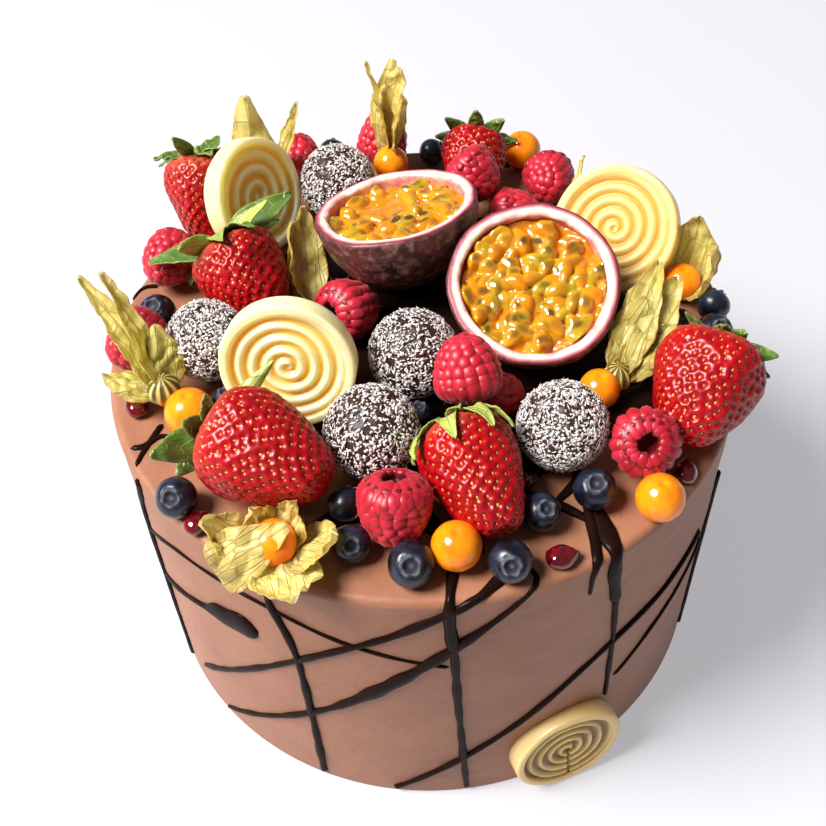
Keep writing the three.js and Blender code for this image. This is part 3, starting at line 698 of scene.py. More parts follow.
def chocolateFinish(name, look):
    cream, reach = look["cream"], look["scatter"]
    shaded = (*[look["shade"] * value for value in cream[:3]], 1)

    def base(tree):
        # painted shade in the grooves, mixed over the cream by the tone
        return mixed(tree, tone(tree, "tone"), mottled(tree, cream, shaded, 90, 0.6), look["groove"])

    return finishOf(name, base, fine(300, 0.04), (0.7, (8 * reach, 6.4 * reach, 3.6 * reach)), Roughness=0.34)


for name, look in discs.items():
    look = {**disc, **look}
    form = discForm(look)
    turn, shift = seat(name, look, [form])
    finish = chocolateFinish("White chocolate " + name, look)
    makePiece(name + "_cast", [moved(form, turn, shift)], finish, [name])
print("discs made")


# Truffles and their coconut

truffles = {
    "truffle_back": topping(-26.3, 65.2, size=13.3, flakes=3400),
    "truffle_left": topping(-66, -9.6, size=12.8, flakes=4000),
    "truffle_middle": topping(-3, -20.5, size=13.8),
    "truffle_front": topping(-16, -50.8, size=14),
    "truffle_right": topping(38.3, -51.4, size=13.3, flakes=4400),
}
coconut = {
    "flakes": 3000,
    "length": (0.8, 2.9),
    "width": (0.45, 1.25),
    "thickness": 0.22,
    # how far the ball lies under the coat and how lumpy it is; how deep in the coat the flakes lie, how far
    # each one stands out from there, how unevenly, and how many are small, by their length and width
    "coat": 0.8,
    "lumps": 0.45,
    "sunk": 0.7,
    "proud": (-0.1, 0.6),
    "tilt": 0.3,
    "small": (1.8, 1.5),
    "white": colour(252, 247, 243),
    "shade": colour(214, 198, 190),
    "chocolate": colour(66, 38, 29),
    "chocolateDeep": colour(36, 20, 15),
}


def flakeForm():
    # a thin angular chip, one long and one wide
    points = [(0.5, 0.1, 0), (0.1, 0.5, 0), (-0.5, 0.0, 0), (-0.1, -0.5, 0), (0, 0, 0.5), (0, 0, -0.5)]
    rim = [(0, 1), (1, 2), (2, 3), (3, 0)]
    faces = [(a, b, 4) for a, b in rim] + [(b, a, 5) for a, b in rim]
    return {"points": np.array(points), "faces": [np.array(faces)]}


def truffleForms(name, look, seed):
    rng = np.random.default_rng(seed)
    size, count = look["size"], look.get("flakes", coconut["flakes"])
    rings = roundRings(size - coconut["coat"], 56, 36)
    body = closedForm(lumpy(rings, coconut["lumps"], 7, seed))
    centre = np.array([*look["at"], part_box(name)[0].z / mm + size])
    ways = unit(rng.normal(size=(count, 3)))
    tilt = unit(ways + rng.normal(size=(count, 3)) * coconut["tilt"])
    out = size - coconut["sunk"] + rng.uniform(*coconut["proud"], count)
    shape = rng.uniform(0, 1, (2, count)) ** np.array([coconut["small"]]).T
    length, width = [np.interp(share, (0, 1), coconut[k]) for share, k in zip(shape, ("length", "width"))]
    sizes = np.stack([length, width, np.full(count, coconut["thickness"])], 1)
    frames = framesOn(tilt, rng.uniform(0, 2 * np.pi, count))
    places = centre + ways * out[:, None]
    flakes = scattered(flakeForm(), frames, places, sizes, tone=rng.uniform(0, 1, count))
    flakes["points"][:, 2] = np.maximum(flakes["points"][:, 2], icingTop + 0.25)
    return moved(body, None, centre), flakes


def flakeBase(tree):
    return mixed(tree, tone(tree, "tone"), coconut["white"], coconut["shade"])


flakeFinish = finishOf("Coconut flakes", flakeBase, fine(1500, 0.03), (0.25, (1, 1, 1)), Roughness=0.55)
truffleFinish = finishOf(
    "Truffle chocolate", patches(coconut["chocolate"], coconut["chocolateDeep"], 700), fine(900, 0.3),
    Roughness=0.45,
)
allFlakes = []
for k, (name, look) in enumerate(truffles.items()):
    body, flakes = truffleForms(name, look, k + 1)
    makePiece(name + "_ball", [body], truffleFinish, [name])
    allFlakes.append(flakes)
makePiece("coconut_flakes", allFlakes, flakeFinish)
print("truffles made")


# Blades: the leaves of the strawberries and the husks of the cape gooseberries

def blade(length, width, bend, cup, seed, crumple, thickness, rows, twist=0, blunt=0.5, pleats=0, columns=11,
          frill=0.0, keel=0.0):
    # a thin sheet from the origin along +X, its upper face to +Z. bend is how far it curls up over its
    # length, cup lifts its edges, twist turns its tip, pleats fold it along its run, frill tears its edges,
    # and keel lowers them on both sides of a ridge
    along = np.linspace(0, 1, rows)[:, None]
    across = np.linspace(-1, 1, columns)[None, :]
    spread = 0.16 + 0.84 * np.sin(np.pi * np.minimum(1, 0.1 + 0.9 * along ** (blunt + 0.35)))
    spread[-1] = 0.05
    flat = np.stack([along * length + 0 * across, across * width / 2 * spread, 0 * along * across], -1)
    torn = frill * uneven(flat, 7, seed + 50) * np.abs(across) ** 5
    y = flat[..., 1] * (1 + torn / max(width, 1))
    lift = cup * across**2 + crumple * (1.6 * np.abs(uneven(flat, max(length, width) / 2.2, seed)) - 0.6)
    lift = lift + crumple * 0.45 * (0.4 - np.abs(uneven(flat, 8, seed + 3))) - keel * np.abs(across) * spread
    lift = lift + pleats * np.cos(np.pi * 3 * across + seed) * np.minimum(1, spread)
    roll = np.radians(twist) * along
    turn = math.radians(bend) or 1e-3
    grids = []
    for side in (0.5, -0.5):
        z = lift + side * thickness
        over = y * np.sin(roll) + z * np.cos(roll)
        ahead = length / turn * np.sin(turn * along) - over * np.sin(turn * along)
        up = length / turn * (1 - np.cos(turn * along)) + over * np.cos(turn * along)
        grids.append(np.stack([ahead, y * np.cos(roll) - z * np.sin(roll), up], -1))
    edge = np.abs(across) + 0 * along
    foot = 0.6 * ease(9, 1, flat[..., 0]) * (keel > 0)
    return closedSheet(*grids, along=flat[..., 0], across=flat[..., 1], edge=edge, foot=foot)


def leafFinish(name, main, second, pale, foot, vein, veinShare, dryEdge, net, longVeins, scale, **settings):
    def lines(tree):
        along, across = tone(tree, "along"), tone(tree, "across")
        return placed(tree, veins, Along=along, Across=across, Net=net, Long=longVeins)

    def base(tree):
        plain = mixed(tree, tone(tree, "pale"), mottled(tree, main, second, scale, 0.9), pale)
        plain = mixed(tree, tone(tree, "foot"), plain, foot)
        veined = mixed(tree, maths(tree, "MULTIPLY", lines(tree)["Mask"], veinShare), plain, vein)
        return mixed(tree, ranged(tree, tone(tree, "edge"), 0.7, 1.0, 0.0, 0.6), veined, dryEdge)

    return finishOf(name, base, lambda tree: lines(tree)["Normal"], **settings)


sepalFinish = leafFinish(
    "Strawberry leaves", main=colour(34, 72, 18), second=colour(70, 108, 34), pale=colour(178, 190, 92),
    foot=colour(120, 150, 60), vein=colour(172, 190, 110), veinShare=0.4, dryEdge=colour(140, 156, 74),
    net=0.5, longVeins=0.45, scale=90, soft=(0.15, (0.5, 1, 0.2)), Roughness=0.38,
)
huskFinish = leafFinish(
    "Dry husk", main=colour(232, 204, 116), second=colour(198, 164, 70), pale=colour(150, 148, 52),
    foot=colour(78, 74, 26), vein=colour(96, 66, 26), veinShare=0.42, dryEdge=colour(176, 134, 60),
    net=0.3, longVeins=0.24, scale=110, soft=(0.5, (3, 2.4, 1)), Roughness=0.5,
)


# Strawberries. Each leaf: where it stands round the cap in degrees, its rise, length, width and bend, how
# pale it is, and what share of the way it rolls towards the light

strawberries = {
    "strawberry_front": topping(-43.9, -59.4, 150, 3, length=37.5, width=33.5, leaves=[
        (104, 25, 19, 10, -15, 0.1, 0.8), (70, 20, 14, 8, -30, 0.2, 0.6),
        (250, -12, 23, 5.5, -25, 0.9, 0.8), (180, 20, 12, 7, -30, 0.2, 0), (140, 16, 14, 7, -20, 0.1, 0.6),
        (300, 10, 10, 6, -30, 0.2, 0),
    ]),
    "strawberry_middle": topping(13.2, -68.1, 111, 14, length=35, width=28.5, leaves=[
        (200, 14, 19, 7, -105, 0.9, 0), (236, 14, 18, 6.5, -105, 0.8, 0), (160, 14, 19, 6.5, -105, 1, 0),
        (116, 16, 19, 7, -95, 0.9, 0), (272, -12, 14, 3.5, 40, 0.9, 0.5), (80, 12, 14, 6, -80, 0.7, 0),
        (180, 24, 11, 5, -60, 0.5, 0),
    ]),
    "strawberry_right": topping(79.2, -42.6, 62, 13, length=32.5, width=33, leaves=[
        (136, 5, 14, 3.5, -10, 0.4, 0.7), (210, 12, 11, 6, -30, 0.1, 0.3), (256, 4, 15, 6, -20, 0.1, 0.7),
        (292, 0, 14, 5.5, -30, 0.2, 0.7), (180, 18, 10, 6, -40, 0.2, 0), (90, 12, 10, 5.5, -30, 0.2, 0),
    ]),
    "strawberry_left": topping(-54.6, 16.5, 128, 30, length=31, width=29.5, leaves=[
        (78, 25, 22, 9, -20, 0.1, 0.8), (48, 4, 18, 7.5, -40, 0.2, 0.7), (200, 18, 15, 8, -80, 0.1, 0),
        (220, 6, 18, 6, -20, 0.9, 0.8), (248, 8, 25, 10.5, -20, 0.1, 0.8), (276, 4, 21, 8, -20, 0, 0.7),
        (160, 18, 16, 7.5, -70, 0.6, 0), (112, 20, 18, 7, -40, 0.9, 0.5),
    ]),
    "strawberry_rear_left": topping(-71.5, 57.5, 100, 55, length=31, width=26.5, leaves=[
        (152, 30, 14, 5, -10, 0.1, 0.6), (56, 5, 16, 6.5, -30, 0.1, 0.5), (320, 30, 11, 7, -10, 0.1, 0.5),
        (240, 15, 11, 8, -30, 0.2, 0), (200, 10, 11, 6, -30, 0.2, 0), (100, 15, 12, 6, -30, 0.1, 0.4),
    ]),
    "strawberry_rear": topping(21.8, 75, 80, 10, length=21, width=24.5, leaves=[
        (90, 15, 12, 6, -30, 0.1, 0.3), (130, 15, 12, 6, -30, 0.1, 0.3), (180, 15, 12, 6, -30, 0.2, 0.3),
        (225, 15, 12, 6, -30, 0.1, 0.3), (270, 15, 12, 6, -30, 0.1, 0.3),
    ]),
}
strawberry = {
    "outline": [(0, 0), (0.27, 0.015), (0.47, 0.075), (0.76, 0.3), (0.95, 0.56), (1, 0.75), (0.86, 0.92),
                (0.44, 1), (0, 0.97)],
    "stem": [(0, -1), (2.6, -0.6), (1.6, 0.3), (1.1, 1.6), (1.2, 2.8), (0.8, 3.2), (0, 3.2)],
    "cap": 0.485,
    "columns": 140,
    "rows": 104,
    "oval": 0.04,
    "lumps": 0.35,
    # the seeds: how far apart, what share of a square of that side each one takes, and where the last one
    # lies on the way to the cap
    "spacing": 3.1,
    "packing": 0.87,
    "lastSeed": 0.93,
    "dimple": 1.05,
    "dimpleSize": 1.0,
    "seedSize": (0.36, 0.6, 0.26),
    "seedSunk": 0.85,
    "red": colour(172, 3, 16),
    "deep": colour(118, 0, 9),
    "shoulder": colour(236, 150, 104),
    "shoulderShare": 0.25,
    # painted shade: the darker red in the dimples round the seeds
    "pit": colour(150, 16, 12),
    "pitShadeShare": 0.6,
    "seed": colour(222, 154, 56),
    "seedDeep": colour(164, 94, 32),
    "leaf": {"cup": 0.6, "blunt": 0.4, "crumple": 0.35, "thickness": 0.4, "rows": 22},
    "leavesFace": np.array([0, -0.5, 0.86]),
}


def strawberryForms(name, look, seed):
    rng = np.random.default_rng(seed)
    length, width, columns = look["length"], look["width"], strawberry["columns"]
    outline = [(radius * width / 2, (height - 0.5) * length) for radius, height in strawberry["outline"]]
    rings = turnedRings(outline, columns, strawberry["rows"])
    grow = 1 + strawberry["oval"] * np.cos(2 * turns(columns) + rng.uniform(0, 6))
    rings[..., 0] *= grow
    rings[..., 1] /= grow
    rings = lumpy(rings, strawberry["lumps"], width * 0.6, seed)
    normals = ringNormals(rings)
    share = (rings[..., 2].mean(1) + length / 2) / length
    # the seeds lie evenly over the skin, each a golden share of a turn past the one before
    steps = np.linalg.norm(np.gradient(rings[:, 0], axis=0), axis=1)
    reach = np.hypot(rings[..., 0], rings[..., 1]).mean(1)
    area = np.cumsum(2 * np.pi * reach * steps)
    count = int(area[-1] / (strawberry["spacing"] ** 2 * strawberry["packing"]))
    order = (np.arange(count) + 0.5) / count
    order = order[order < strawberry["lastSeed"]]
    row = np.interp(order * area[-1], area, np.arange(len(area))).round().astype(int)
    spun = (np.arange(len(order)) * golden + rng.normal(0, 0.006, len(order))) % 1
    column = (spun * columns).round().astype(int) % columns
    pits, ways = rings[row, column], normals[row, column]
    nearest = np.array([np.linalg.norm(ring[:, None] - pits, axis=2).min(1) for ring in rings])
    pit = np.exp(-(nearest / strawberry["dimpleSize"]) ** 2)
    rings = rings - normals * (strawberry["dimple"] * pit)[..., None]
    pale = ease(0.8, 1.0, share)[:, None] * strawberry["shoulderShare"]
    fruit = closedForm(rings, tone=pale + 0 * pit, pit=pit)
    meridian = unit(np.gradient(rings, axis=0))[row, column]
    frames = framesOn(ways, rng.normal(0, 0.12, len(ways)), along=meridian)
    size = np.array([strawberry["seedSize"]]) * rng.uniform(0.85, 1.1, (len(ways), 1))
    places = pits - ways * strawberry["seedSunk"]
    seeds = scattered(ball(7, 6), frames, places, size, tone=rng.uniform(0, 1, len(ways)))
    leaves = []
    light = turnTo(look["heading"], look["rise"]).T @ strawberry["leavesFace"]
    for k, (around, tilt, long, wide, bend, pale, share) in enumerate(look["leaves"]):
        sheet = blade(long, wide, bend, twist=rng.uniform(-20, 20), seed=seed * 20 + k, **strawberry["leaf"])
        turn = math.radians(around)
        start = (3 * math.cos(turn), 3 * math.sin(turn), length * strawberry["cap"])
        sheet["pale"] = np.full(len(sheet["points"]), pale)
        leaves.append(lying(sheet, around, tilt, start, share * rollTowards(light, around, tilt)))
    stem = turnedRings(strawberry["stem"], 14, 14)
    leaves.append(moved(closedForm(stem, edge=0 * stem[..., 0]), None, (0, 0, length * strawberry["cap"])))
    turn, shift = seat(name, look, [fruit])
    fruit, seeds, *leaves = [moved(form, turn, shift) for form in (fruit, seeds, *leaves)]
    for form in leaves:
        form["points"][:, 2] = np.maximum(form["points"][:, 2], icingTop + 0.3)
    return fruit, seeds, leaves


def strawberryBase(tree):
    skin = mottled(tree, strawberry["red"], strawberry["deep"], 70, 0.7)
    pale = mixed(tree, tone(tree, "tone"), skin, strawberry["shoulder"])
    # painted shade in the dimples
    pit = maths(tree, "MULTIPLY", tone(tree, "pit"), strawberry["pitShadeShare"])
    return mixed(tree, pit, pale, strawberry["pit"])


def seedBase(tree):
    return mixed(tree, tone(tree, "tone"), strawberry["seed"], strawberry["seedDeep"])


strawberryFinish = finishOf(
    "Strawberry skin", strawberryBase, fine(500, 0.03), soft=(0.12, (4, 0.8, 0.5)), Roughness=0.31,
    Specular_IOR_Level=0.4,
)
seedFinish = finishOf("Strawberry seeds", seedBase, fine(1500, 0.02), Roughness=0.4)
allSeeds, allLeaves = [], []
for k, (name, look) in enumerate(strawberries.items()):
    fruit, seeds, leaves = strawberryForms(name, look, k + 21)
    makePiece(name + "_fruit", [fruit], strawberryFinish, [name])
    allSeeds.append(seeds)
    allLeaves += leaves
makePiece("strawberry_seeds", allSeeds, seedFinish)
makePiece("strawberry_leaves", allLeaves, sepalFinish)
print("strawberries made")


# Passion fruit halves

passionFruits = {
    "passion_left": topping(-6.5, 32.5, 120, 74, radius=27.2, depth=27, sacs=80, lift=0.5, still=(-0.5, 1.0),
                            bare=(4, 9, 14, 17)),
    "passion_right": topping(34.6, -3.5, -98, 64, radius=26.8, depth=24, sacs=112, lift=1.1, bare=()),
}
passion = {
    "wall": 4.2,
    "level": 5,
    "floor": 13,
    "columns": 120,
    # the pulp: how long, wide and high its sacs are, how far over the juice their middles lie, how sharply
    # they join, and how far it climbs the rind
    "long": (2.8, 4.8),
    "wide": (1.9, 2.6),
    "high": (1.6, 2.7),
    "over": (-1.6, 0.9),
    "join": 4.5,
    "clings": 1.8,
    # where the juice covers the sacs, if it does: how far out the middle of that is, how much lower the sacs
    # lie there, and the distances from the middle at which that ends and is whole
    "stillAt": 10,
    "stillDepth": 3,
    "stillReach": (11, 6),
    "pulpColumns": 230,
    "pulpRings": 92,
    "skin": colour(104, 58, 54),
    "skinDark": colour(50, 22, 26),
    "fleck": colour(170, 132, 116),
    "edge": colour(104, 24, 46),
    "blush": colour(214, 106, 116),
    "pith": colour(252, 230, 208),
    "inner": colour(242, 190, 150),
    "juice": colour(206, 112, 8),
    "sac": colour(214, 132, 8),
    "sacPale": colour(178, 150, 26),
    "seed": colour(44, 44, 20),
}


def rindForm(look, seed):
    r, d, level, floor = look["radius"], look["depth"], -passion["level"], -passion["floor"]
    inner = r - passion["wall"]
    outside = [(0, -d), (0.45 * r, -0.9 * d), (0.8 * r, -0.62 * d), (0.97 * r, -0.26 * d), (r, -1.2)]
    rim = [(r - 0.15, -0.5), (r - 0.7, -0.05), (r - 1.8, 0), (inner + 0.8, -0.1), (inner, -0.7)]
    inside = [(inner - 0.1, -1.6), (inner + 0.2, level), (inner - 2, floor + 1)]
    parts = [smoothLine(outside, 40), smoothLine(rim, 14), smoothLine(inside, 12)]
    radius, height = np.vstack([*parts, [(inner * 0.8, floor), (inner * 0.4, floor), (0, floor)]]).T
    band = np.concatenate([np.zeros(40), np.linspace(0.1, 0.8, 14), np.ones(15)])
    rings = ringsOf(radius, height, passion["columns"])
    shape = 0.5 * uneven(rings * [1, 1, 0], 34, seed) + 0.16 * uneven(rings, 7, seed + 1)
    rings[..., :2] += unit(rings[..., :2] + 1e-6) * (shape - 0.4)[..., None] * (radius > 4)[:, None, None]
    return closedForm(rings, band=band[:, None] + 0 * rings[..., 0])


def pulpForm(look, seed):
    # one wet surface, in which the sacs run into each other and into the juice
    rng = np.random.default_rng(seed)
    inner = look["radius"] - passion["wall"] - 0.4
    level, floor, join, count = -passion["level"], -passion["floor"], passion["join"], look["sacs"]
    turn = np.arange(count) * golden * 2 * np.pi + rng.normal(0, 0.25, count)
    reach = np.sqrt((np.arange(count) + 0.5) / count) * (inner - 1.5)
    x, y = reach * np.cos(turn), reach * np.sin(turn)
    long, wide, high = [rng.uniform(*passion[key], count) for key in ("long", "wide", "high")]
    lift = rng.uniform(*passion["over"], count) + look["lift"]
    if "still" in look:
        way = turnTo(look["heading"], look["rise"]).T @ np.array([*look["still"], 0.0])
        left, ahead = [at - passion["stillAt"] * part for at, part in zip((x, y), way)]
        lift -= passion["stillDepth"] * ease(*passion["stillReach"], np.hypot(left, ahead))
    spin = rng.uniform(0, np.pi, count)
    hue = rng.uniform(0, 1, count)
    shows = rng.uniform(0, 1, count) ** 1.2
    shows[list(look["bare"])] = 2.5
    base = [(0, floor + 0.4), (inner * 0.5, floor + 0.4), (inner - 3, floor + 0.5), (inner - 0.6, level - 2)]
    base = np.array(base)
    radius = np.concatenate([base[:, 0], np.linspace(inner - 0.2, 0.3, passion["pulpRings"]), [0]])
    rings = ringsOf(radius, 0 * radius, passion["pulpColumns"])
    # the surface is a soft maximum of the sacs and of the juice at height 0
    total = np.ones(rings.shape[:2])
    hues, stones = 0.3 * total, 0 * total
    for k in range(count):
        left, ahead = rings[..., 0] - x[k], rings[..., 1] - y[k]
        u = (left * math.cos(spin[k]) + ahead * math.sin(spin[k])) / long[k]
        v = (ahead * math.cos(spin[k]) - left * math.sin(spin[k])) / wide[k] + 0.3 * u * u
        inside = 1 - u * u - v * v
        height = lift[k] + high[k] * np.sign(inside) * np.sqrt(np.abs(inside))
        weight = np.exp(join * height.clip(-3, 6))
        total += weight
        hues += weight * hue[k]
        stones += weight * shows[k] * ease(1.05, 0.3, np.hypot(1.5 * (u - 0.15), 1.3 * v))
    height = np.log(total) / join + 0.2 * uneven(rings, 9, seed)
    clinging = passion["clings"] * ease(inner - 3.5, inner, radius)[:, None]
    rings[..., 2] = level + height + clinging * (0.6 + 0.5 * uneven(rings, 6, seed + 1))
    rings[:4, :, 2] = base[:, 1:]
    deep, stone = ease(1.4, -0.1, height), (stones / total).clip(0, 1)
    return closedForm(rings, tone=hues / total, stone=stone, deep=deep)


def rindBase(tree):
    # skin outside, then over the cut rim from its dark edge to the pith, which blushes towards the pulp
    band = tone(tree, "band")
    skin = mottled(tree, passion["skin"], passion["skinDark"], 150)
    flecks = mottled(tree, skin, passion["fleck"], 420, 0.75, 0.62)
    ramp = node(tree, "ValToRGB", i0=band)
    stops = [(0.0, "skin"), (0.15, "skinDark"), (0.24, "edge"), (0.34, "blush"), (0.46, "pith"),
             (0.7, "pith"), (1.0, "inner")]
    shades = ramp.color_ramp.elements
    shades.remove(shades[1])
    shades[0].color = passion[stops[0][1]]
    for place, shade in stops[1:]:
        shades.new(place).color = passion[shade]
    nearPulp = ranged(tree, band, 0.4, 0.75, 0.25, 0.95)
    blush = mottled(tree, ramp.outputs[0], passion["blush"], 170, nearPulp)
    return mixed(tree, ranged(tree, band, 0.02, 0.1), flecks, blush)


def pulpBase(tree):
    sac = mixed(tree, tone(tree, "tone"), passion["sac"], passion["sacPale"])
    stone = maths(tree, "MULTIPLY", tone(tree, "stone"), 0.9)
    low = maths(tree, "MULTIPLY", tone(tree, "deep"), 0.6)
    return mixed(tree, low, mixed(tree, stone, sac, passion["seed"]), passion["juice"])


rindFinish = finishOf("Passion fruit rind", rindBase, fine(380, 0.3), (0.1, (2, 1, 1)), Roughness=0.42)
pulpFinish = finishOf(
    "Passion fruit pulp", pulpBase, fine(300, 0.12), soft=(0.45, (4, 2, 0.5)), Roughness=0.12,
    Coat_Weight=1.0, Coat_Roughness=0.03,
)
for k, (name, look) in enumerate(passionFruits.items()):
    rind, pulp = rindForm(look, k + 31), pulpForm(look, k + 41)
    turn, shift = seat(name + "_rind", look, [rind])
    makePiece(name + "_peel", [moved(rind, turn, shift)], rindFinish, [name + "_rind"])
    makePiece(name + "_sacs", [moved(pulp, turn, shift)], pulpFinish, [name + "_pulp"])
print("passion fruit made")


# Raspberries

raspberries = {
    "raspberry_centre": topping(-22, 5.2, 45, -25),
    "raspberry_stacked": topping(11.8, -37, 100, 50),
    "raspberry_front": topping(-10.2, -76, -95, -62, radius=10.5, length=20),
    "raspberry_right": topping(60.3, -57.4, 90, -45, radius=9.6, length=15),
    "raspberry_rear_middle": topping(21.3, 56.2, -40, -25, radius=9.5, length=17),
    "raspberry_rear_right": topping(48, 64, -90, 10, radius=9, length=17),
    "raspberry_rear_low": topping(35, 48, 0, 0, radius=8.8, length=17),
    "raspberry_left": topping(-82.7, 31, 250, 8, radius=9.3, length=19),
    "raspberry_edge_left": topping(-90, -5, 240, 0, radius=9, length=20),
    "raspberry_rear_left": topping(-40.6, 85.8, 90, 30, radius=8, length=17),
    "raspberry_rear_husk": topping(-9.6, 93, 60, 65, radius=9, length=19.5),
    "raspberry_middle_low": topping(23, -33.5, 0, 0, radius=7, length=13),
}
raspberry = {
    "radius": 10,
    "length": 19,
    "outline": [(0, 0.5), (0.3, 0.32), (0.44, 0.1), (0.66, 0), (0.94, 0.14), (1, 0.34), (0.92, 0.56),
                (0.74, 0.77), (0.45, 0.93), (0, 1)],
    "coreColumns": 48,
    "coreRows": 34,
    "coreSunk": 1.3,
    # the hollow in the core, with ribs on its wall
    "cupRows": 13,
    "cupRibs": 15,
    "ribDepth": 0.05,
    "grain": 3.9,
    # how far a row is from the next, how far apart its grains are and how large they are, each as a share of
    # a grain; then how broad and long the grains of the first rows from the opening are, and all the others
    "rowStep": 0.8,
    "grainStep": 0.98,
    "grainSize": 0.58,
    "broad": (1.17, 1.17, 1.03),
    "stretch": (1.96, 1.46, 1.16),
    "flat": 0.82,
    "sunk": 0.76,
    "hairShare": 0.45,
    "hairWidth": 0.06,
    "hairLength": (1.0, 2.0),
    "red": colour(166, 8, 28),
    "light": colour(204, 32, 54),
    # painted shade: the dark red of the core between the grains, in the hollow and at the foot of each grain
    "deep": colour(104, 2, 16),
    "hair": colour(206, 160, 96),
    "hairDeep": colour(150, 96, 50),
}


def raspberryForms(name, look, seed):
    rng = np.random.default_rng(seed)
    radius, length = [look.get(key, raspberry[key]) for key in ("radius", "length")]
    outline = np.array([(r * radius, (h - 0.5) * length) for r, h in raspberry["outline"]])
    inner = outline.copy()
    inner[4:, 0] *= 1 - raspberry["coreSunk"] / radius
    inner[4:-1, 1] -= 0.4
    inner[-1, 1] -= 1.4
    columns, rows = raspberry["coreColumns"], raspberry["coreRows"]
    rings = turnedRings(inner, columns, rows)
    reach = np.hypot(rings[..., 0], rings[..., 1])
    cup = (np.arange(rows) < raspberry["cupRows"])[:, None] * ease(1, 3, reach)
    rings = widened(rings, cup * raspberry["ribDepth"] * np.cos(raspberry["cupRibs"] * turns(columns)))
    # painted shade over the whole core between the grains, darkest in the hollow
    core = closedForm(rings, tone=0 * cup, deep=0.35 + 0.6 * cup)
    # rows of grains from the opening to the tip
    line = smoothLine(outline[3:], 300)
    slope = unit(np.gradient(line, axis=0))
    out = np.stack([slope[:, 1], -slope[:, 0]], 1)
    run = np.concatenate([[0], np.cumsum(np.linalg.norm(np.diff(line, axis=0), axis=1))])
    grain = raspberry["grain"]
    rows = int(run[-1] / (grain * raspberry["rowStep"]))
    places, ways, along, shape = [], [], [], []
    for k in range(rows + 1):
        reach = (k / rows + 0.4 / rows * (1 - k / rows)) * (run[-1] - 0.2)
        at = np.interp(reach, run, np.arange(300)).round().astype(int)
        closer = 1.3 if k == 0 else 1
        around = closer * 2 * np.pi * line[at, 0] / (grain * raspberry["grainStep"])
        around = 1 if k == rows else max(1, int(round(around)))
        angle = 2 * np.pi * (np.arange(around) + 0.5 * (k % 2) + rng.normal(0, 0.05, around)) / around
        angle += k * 0.17
        for kept, pair in ((places, line), (ways, out), (along, slope)):
            flat = [pair[at, 0] * np.cos(angle), pair[at, 0] * np.sin(angle), np.full(around, pair[at, 1])]
            kept.append(np.stack(flat, 1))
        size = [raspberry[key][min(k, 2)] for key in ("broad", "stretch")]
        shape.append(np.tile([*size, raspberry["flat"]], (around, 1)))
    places, ways, along, shape = [np.concatenate(rowsOf) for rowsOf in (places, ways, along, shape)]
    count = len(places)
    ways = unit(ways)
    size = grain * raspberry["grainSize"] * rng.uniform(0.88, 1.12, (count, 1))
    form = ball(12, 9)
    # painted shade, darker towards the foot of each grain where it meets the core and its neighbours
    form = {**form, "deep": ease(0.75, -0.35, form["points"][:, 2])}
    frames = framesOn(ways, rng.normal(0, 0.12, count), along=along)
    sunk = places - ways * size * raspberry["sunk"]
    grains = scattered(form, frames, sunk, size * shape, tone=rng.uniform(0, 1, count))
    # thin hairs on some of them
    some = rng.uniform(0, 1, count) < raspberry["hairShare"]
    thin = closedForm(turnedRings([(0, 0), (1, 0.02), (0.7, 0.5), (0.3, 0.95), (0, 1)], 4, 5))
    lean = unit(ways + rng.normal(0, 0.55, (count, 3)))[some]
    hairSize = np.full((some.sum(), 3), raspberry["hairWidth"])
    hairSize[:, 2] = rng.uniform(*raspberry["hairLength"], some.sum())
    hairs = scattered(thin, framesOn(lean, np.zeros(some.sum())), (places - ways * 0.2)[some], hairSize)
    turn, shift = seat(name, look, [grains])
    return [moved(form, turn, shift) for form in (core, grains, hairs)]


def raspberryBase(tree):
    skin = mixed(tree, tone(tree, "tone"), raspberry["red"], raspberry["light"])
    # the deep value gives painted shade on the core and at the feet of the grains
    return mixed(tree, tone(tree, "deep"), skin, raspberry["deep"])


raspberryFinish = finishOf(
    "Raspberry grains", raspberryBase, fine(900, 0.05), soft=(0.3, (3, 0.6, 0.6)), Roughness=0.41,
    Sheen_Weight=0.12, Sheen_Roughness=0.4,
)
hairBase = patches(raspberry["hair"], raspberry["hairDeep"], 300)
hairFinish = finishOf("Raspberry hairs", hairBase, Roughness=0.5)
allHairs = []
for k, (name, look) in enumerate(raspberries.items()):
    core, grains, hairs = raspberryForms(name, look, k + 51)
    makePiece(name + "_fruit", [core, grains], raspberryFinish, [name])
    allHairs.append(hairs)
makePiece("raspberry_hairs", allHairs, hairFinish)
print("raspberries made")


# Blueberries

blueberries = {
    "blueberry_rear_left": topping(-29, 92.3, 90, 20, size=5.4),
    "blueberry_rear": topping(7.6, 91.3, 0, 30, size=4.9),
    "blueberry_left": topping(-85, 10.5, -100, 70, size=6.3),
    "blueberry_left_inner": topping(-59.8, -28.2, size=5),
    "blueberry_front_left": topping(-71.4, -64.3, -100, 50, size=6),
    "blueberry_front_inner": topping(-24, -69.3, 90, 30, size=5.3),
    "blueberry_front_low": topping(-22.2, -82.6, -90, 50, size=5.3),
    "blueberry_front_middle": topping(-6.4, -90.6, -90, 50, size=6.4),
    "blueberry_front_right": topping(20, -91, -90, 40, size=6),
    "blueberry_front_upper": topping(29.8, -75.3, -60, 60, size=5.6),
    "blueberry_right_inner": topping(45.6, -68.7, -90, 70, size=6.1),
    "blueberry_right_rear": topping(93.5, 2.5, 60, 30, size=5.3),
    "blueberry_right_edge": topping(91, -10, -60, 60, size=6),
    "blueberry_right_dark": topping(80.5, -6, size=5.7),
    "blueberry_middle_dark": topping(-2, -37, size=4.6),
}
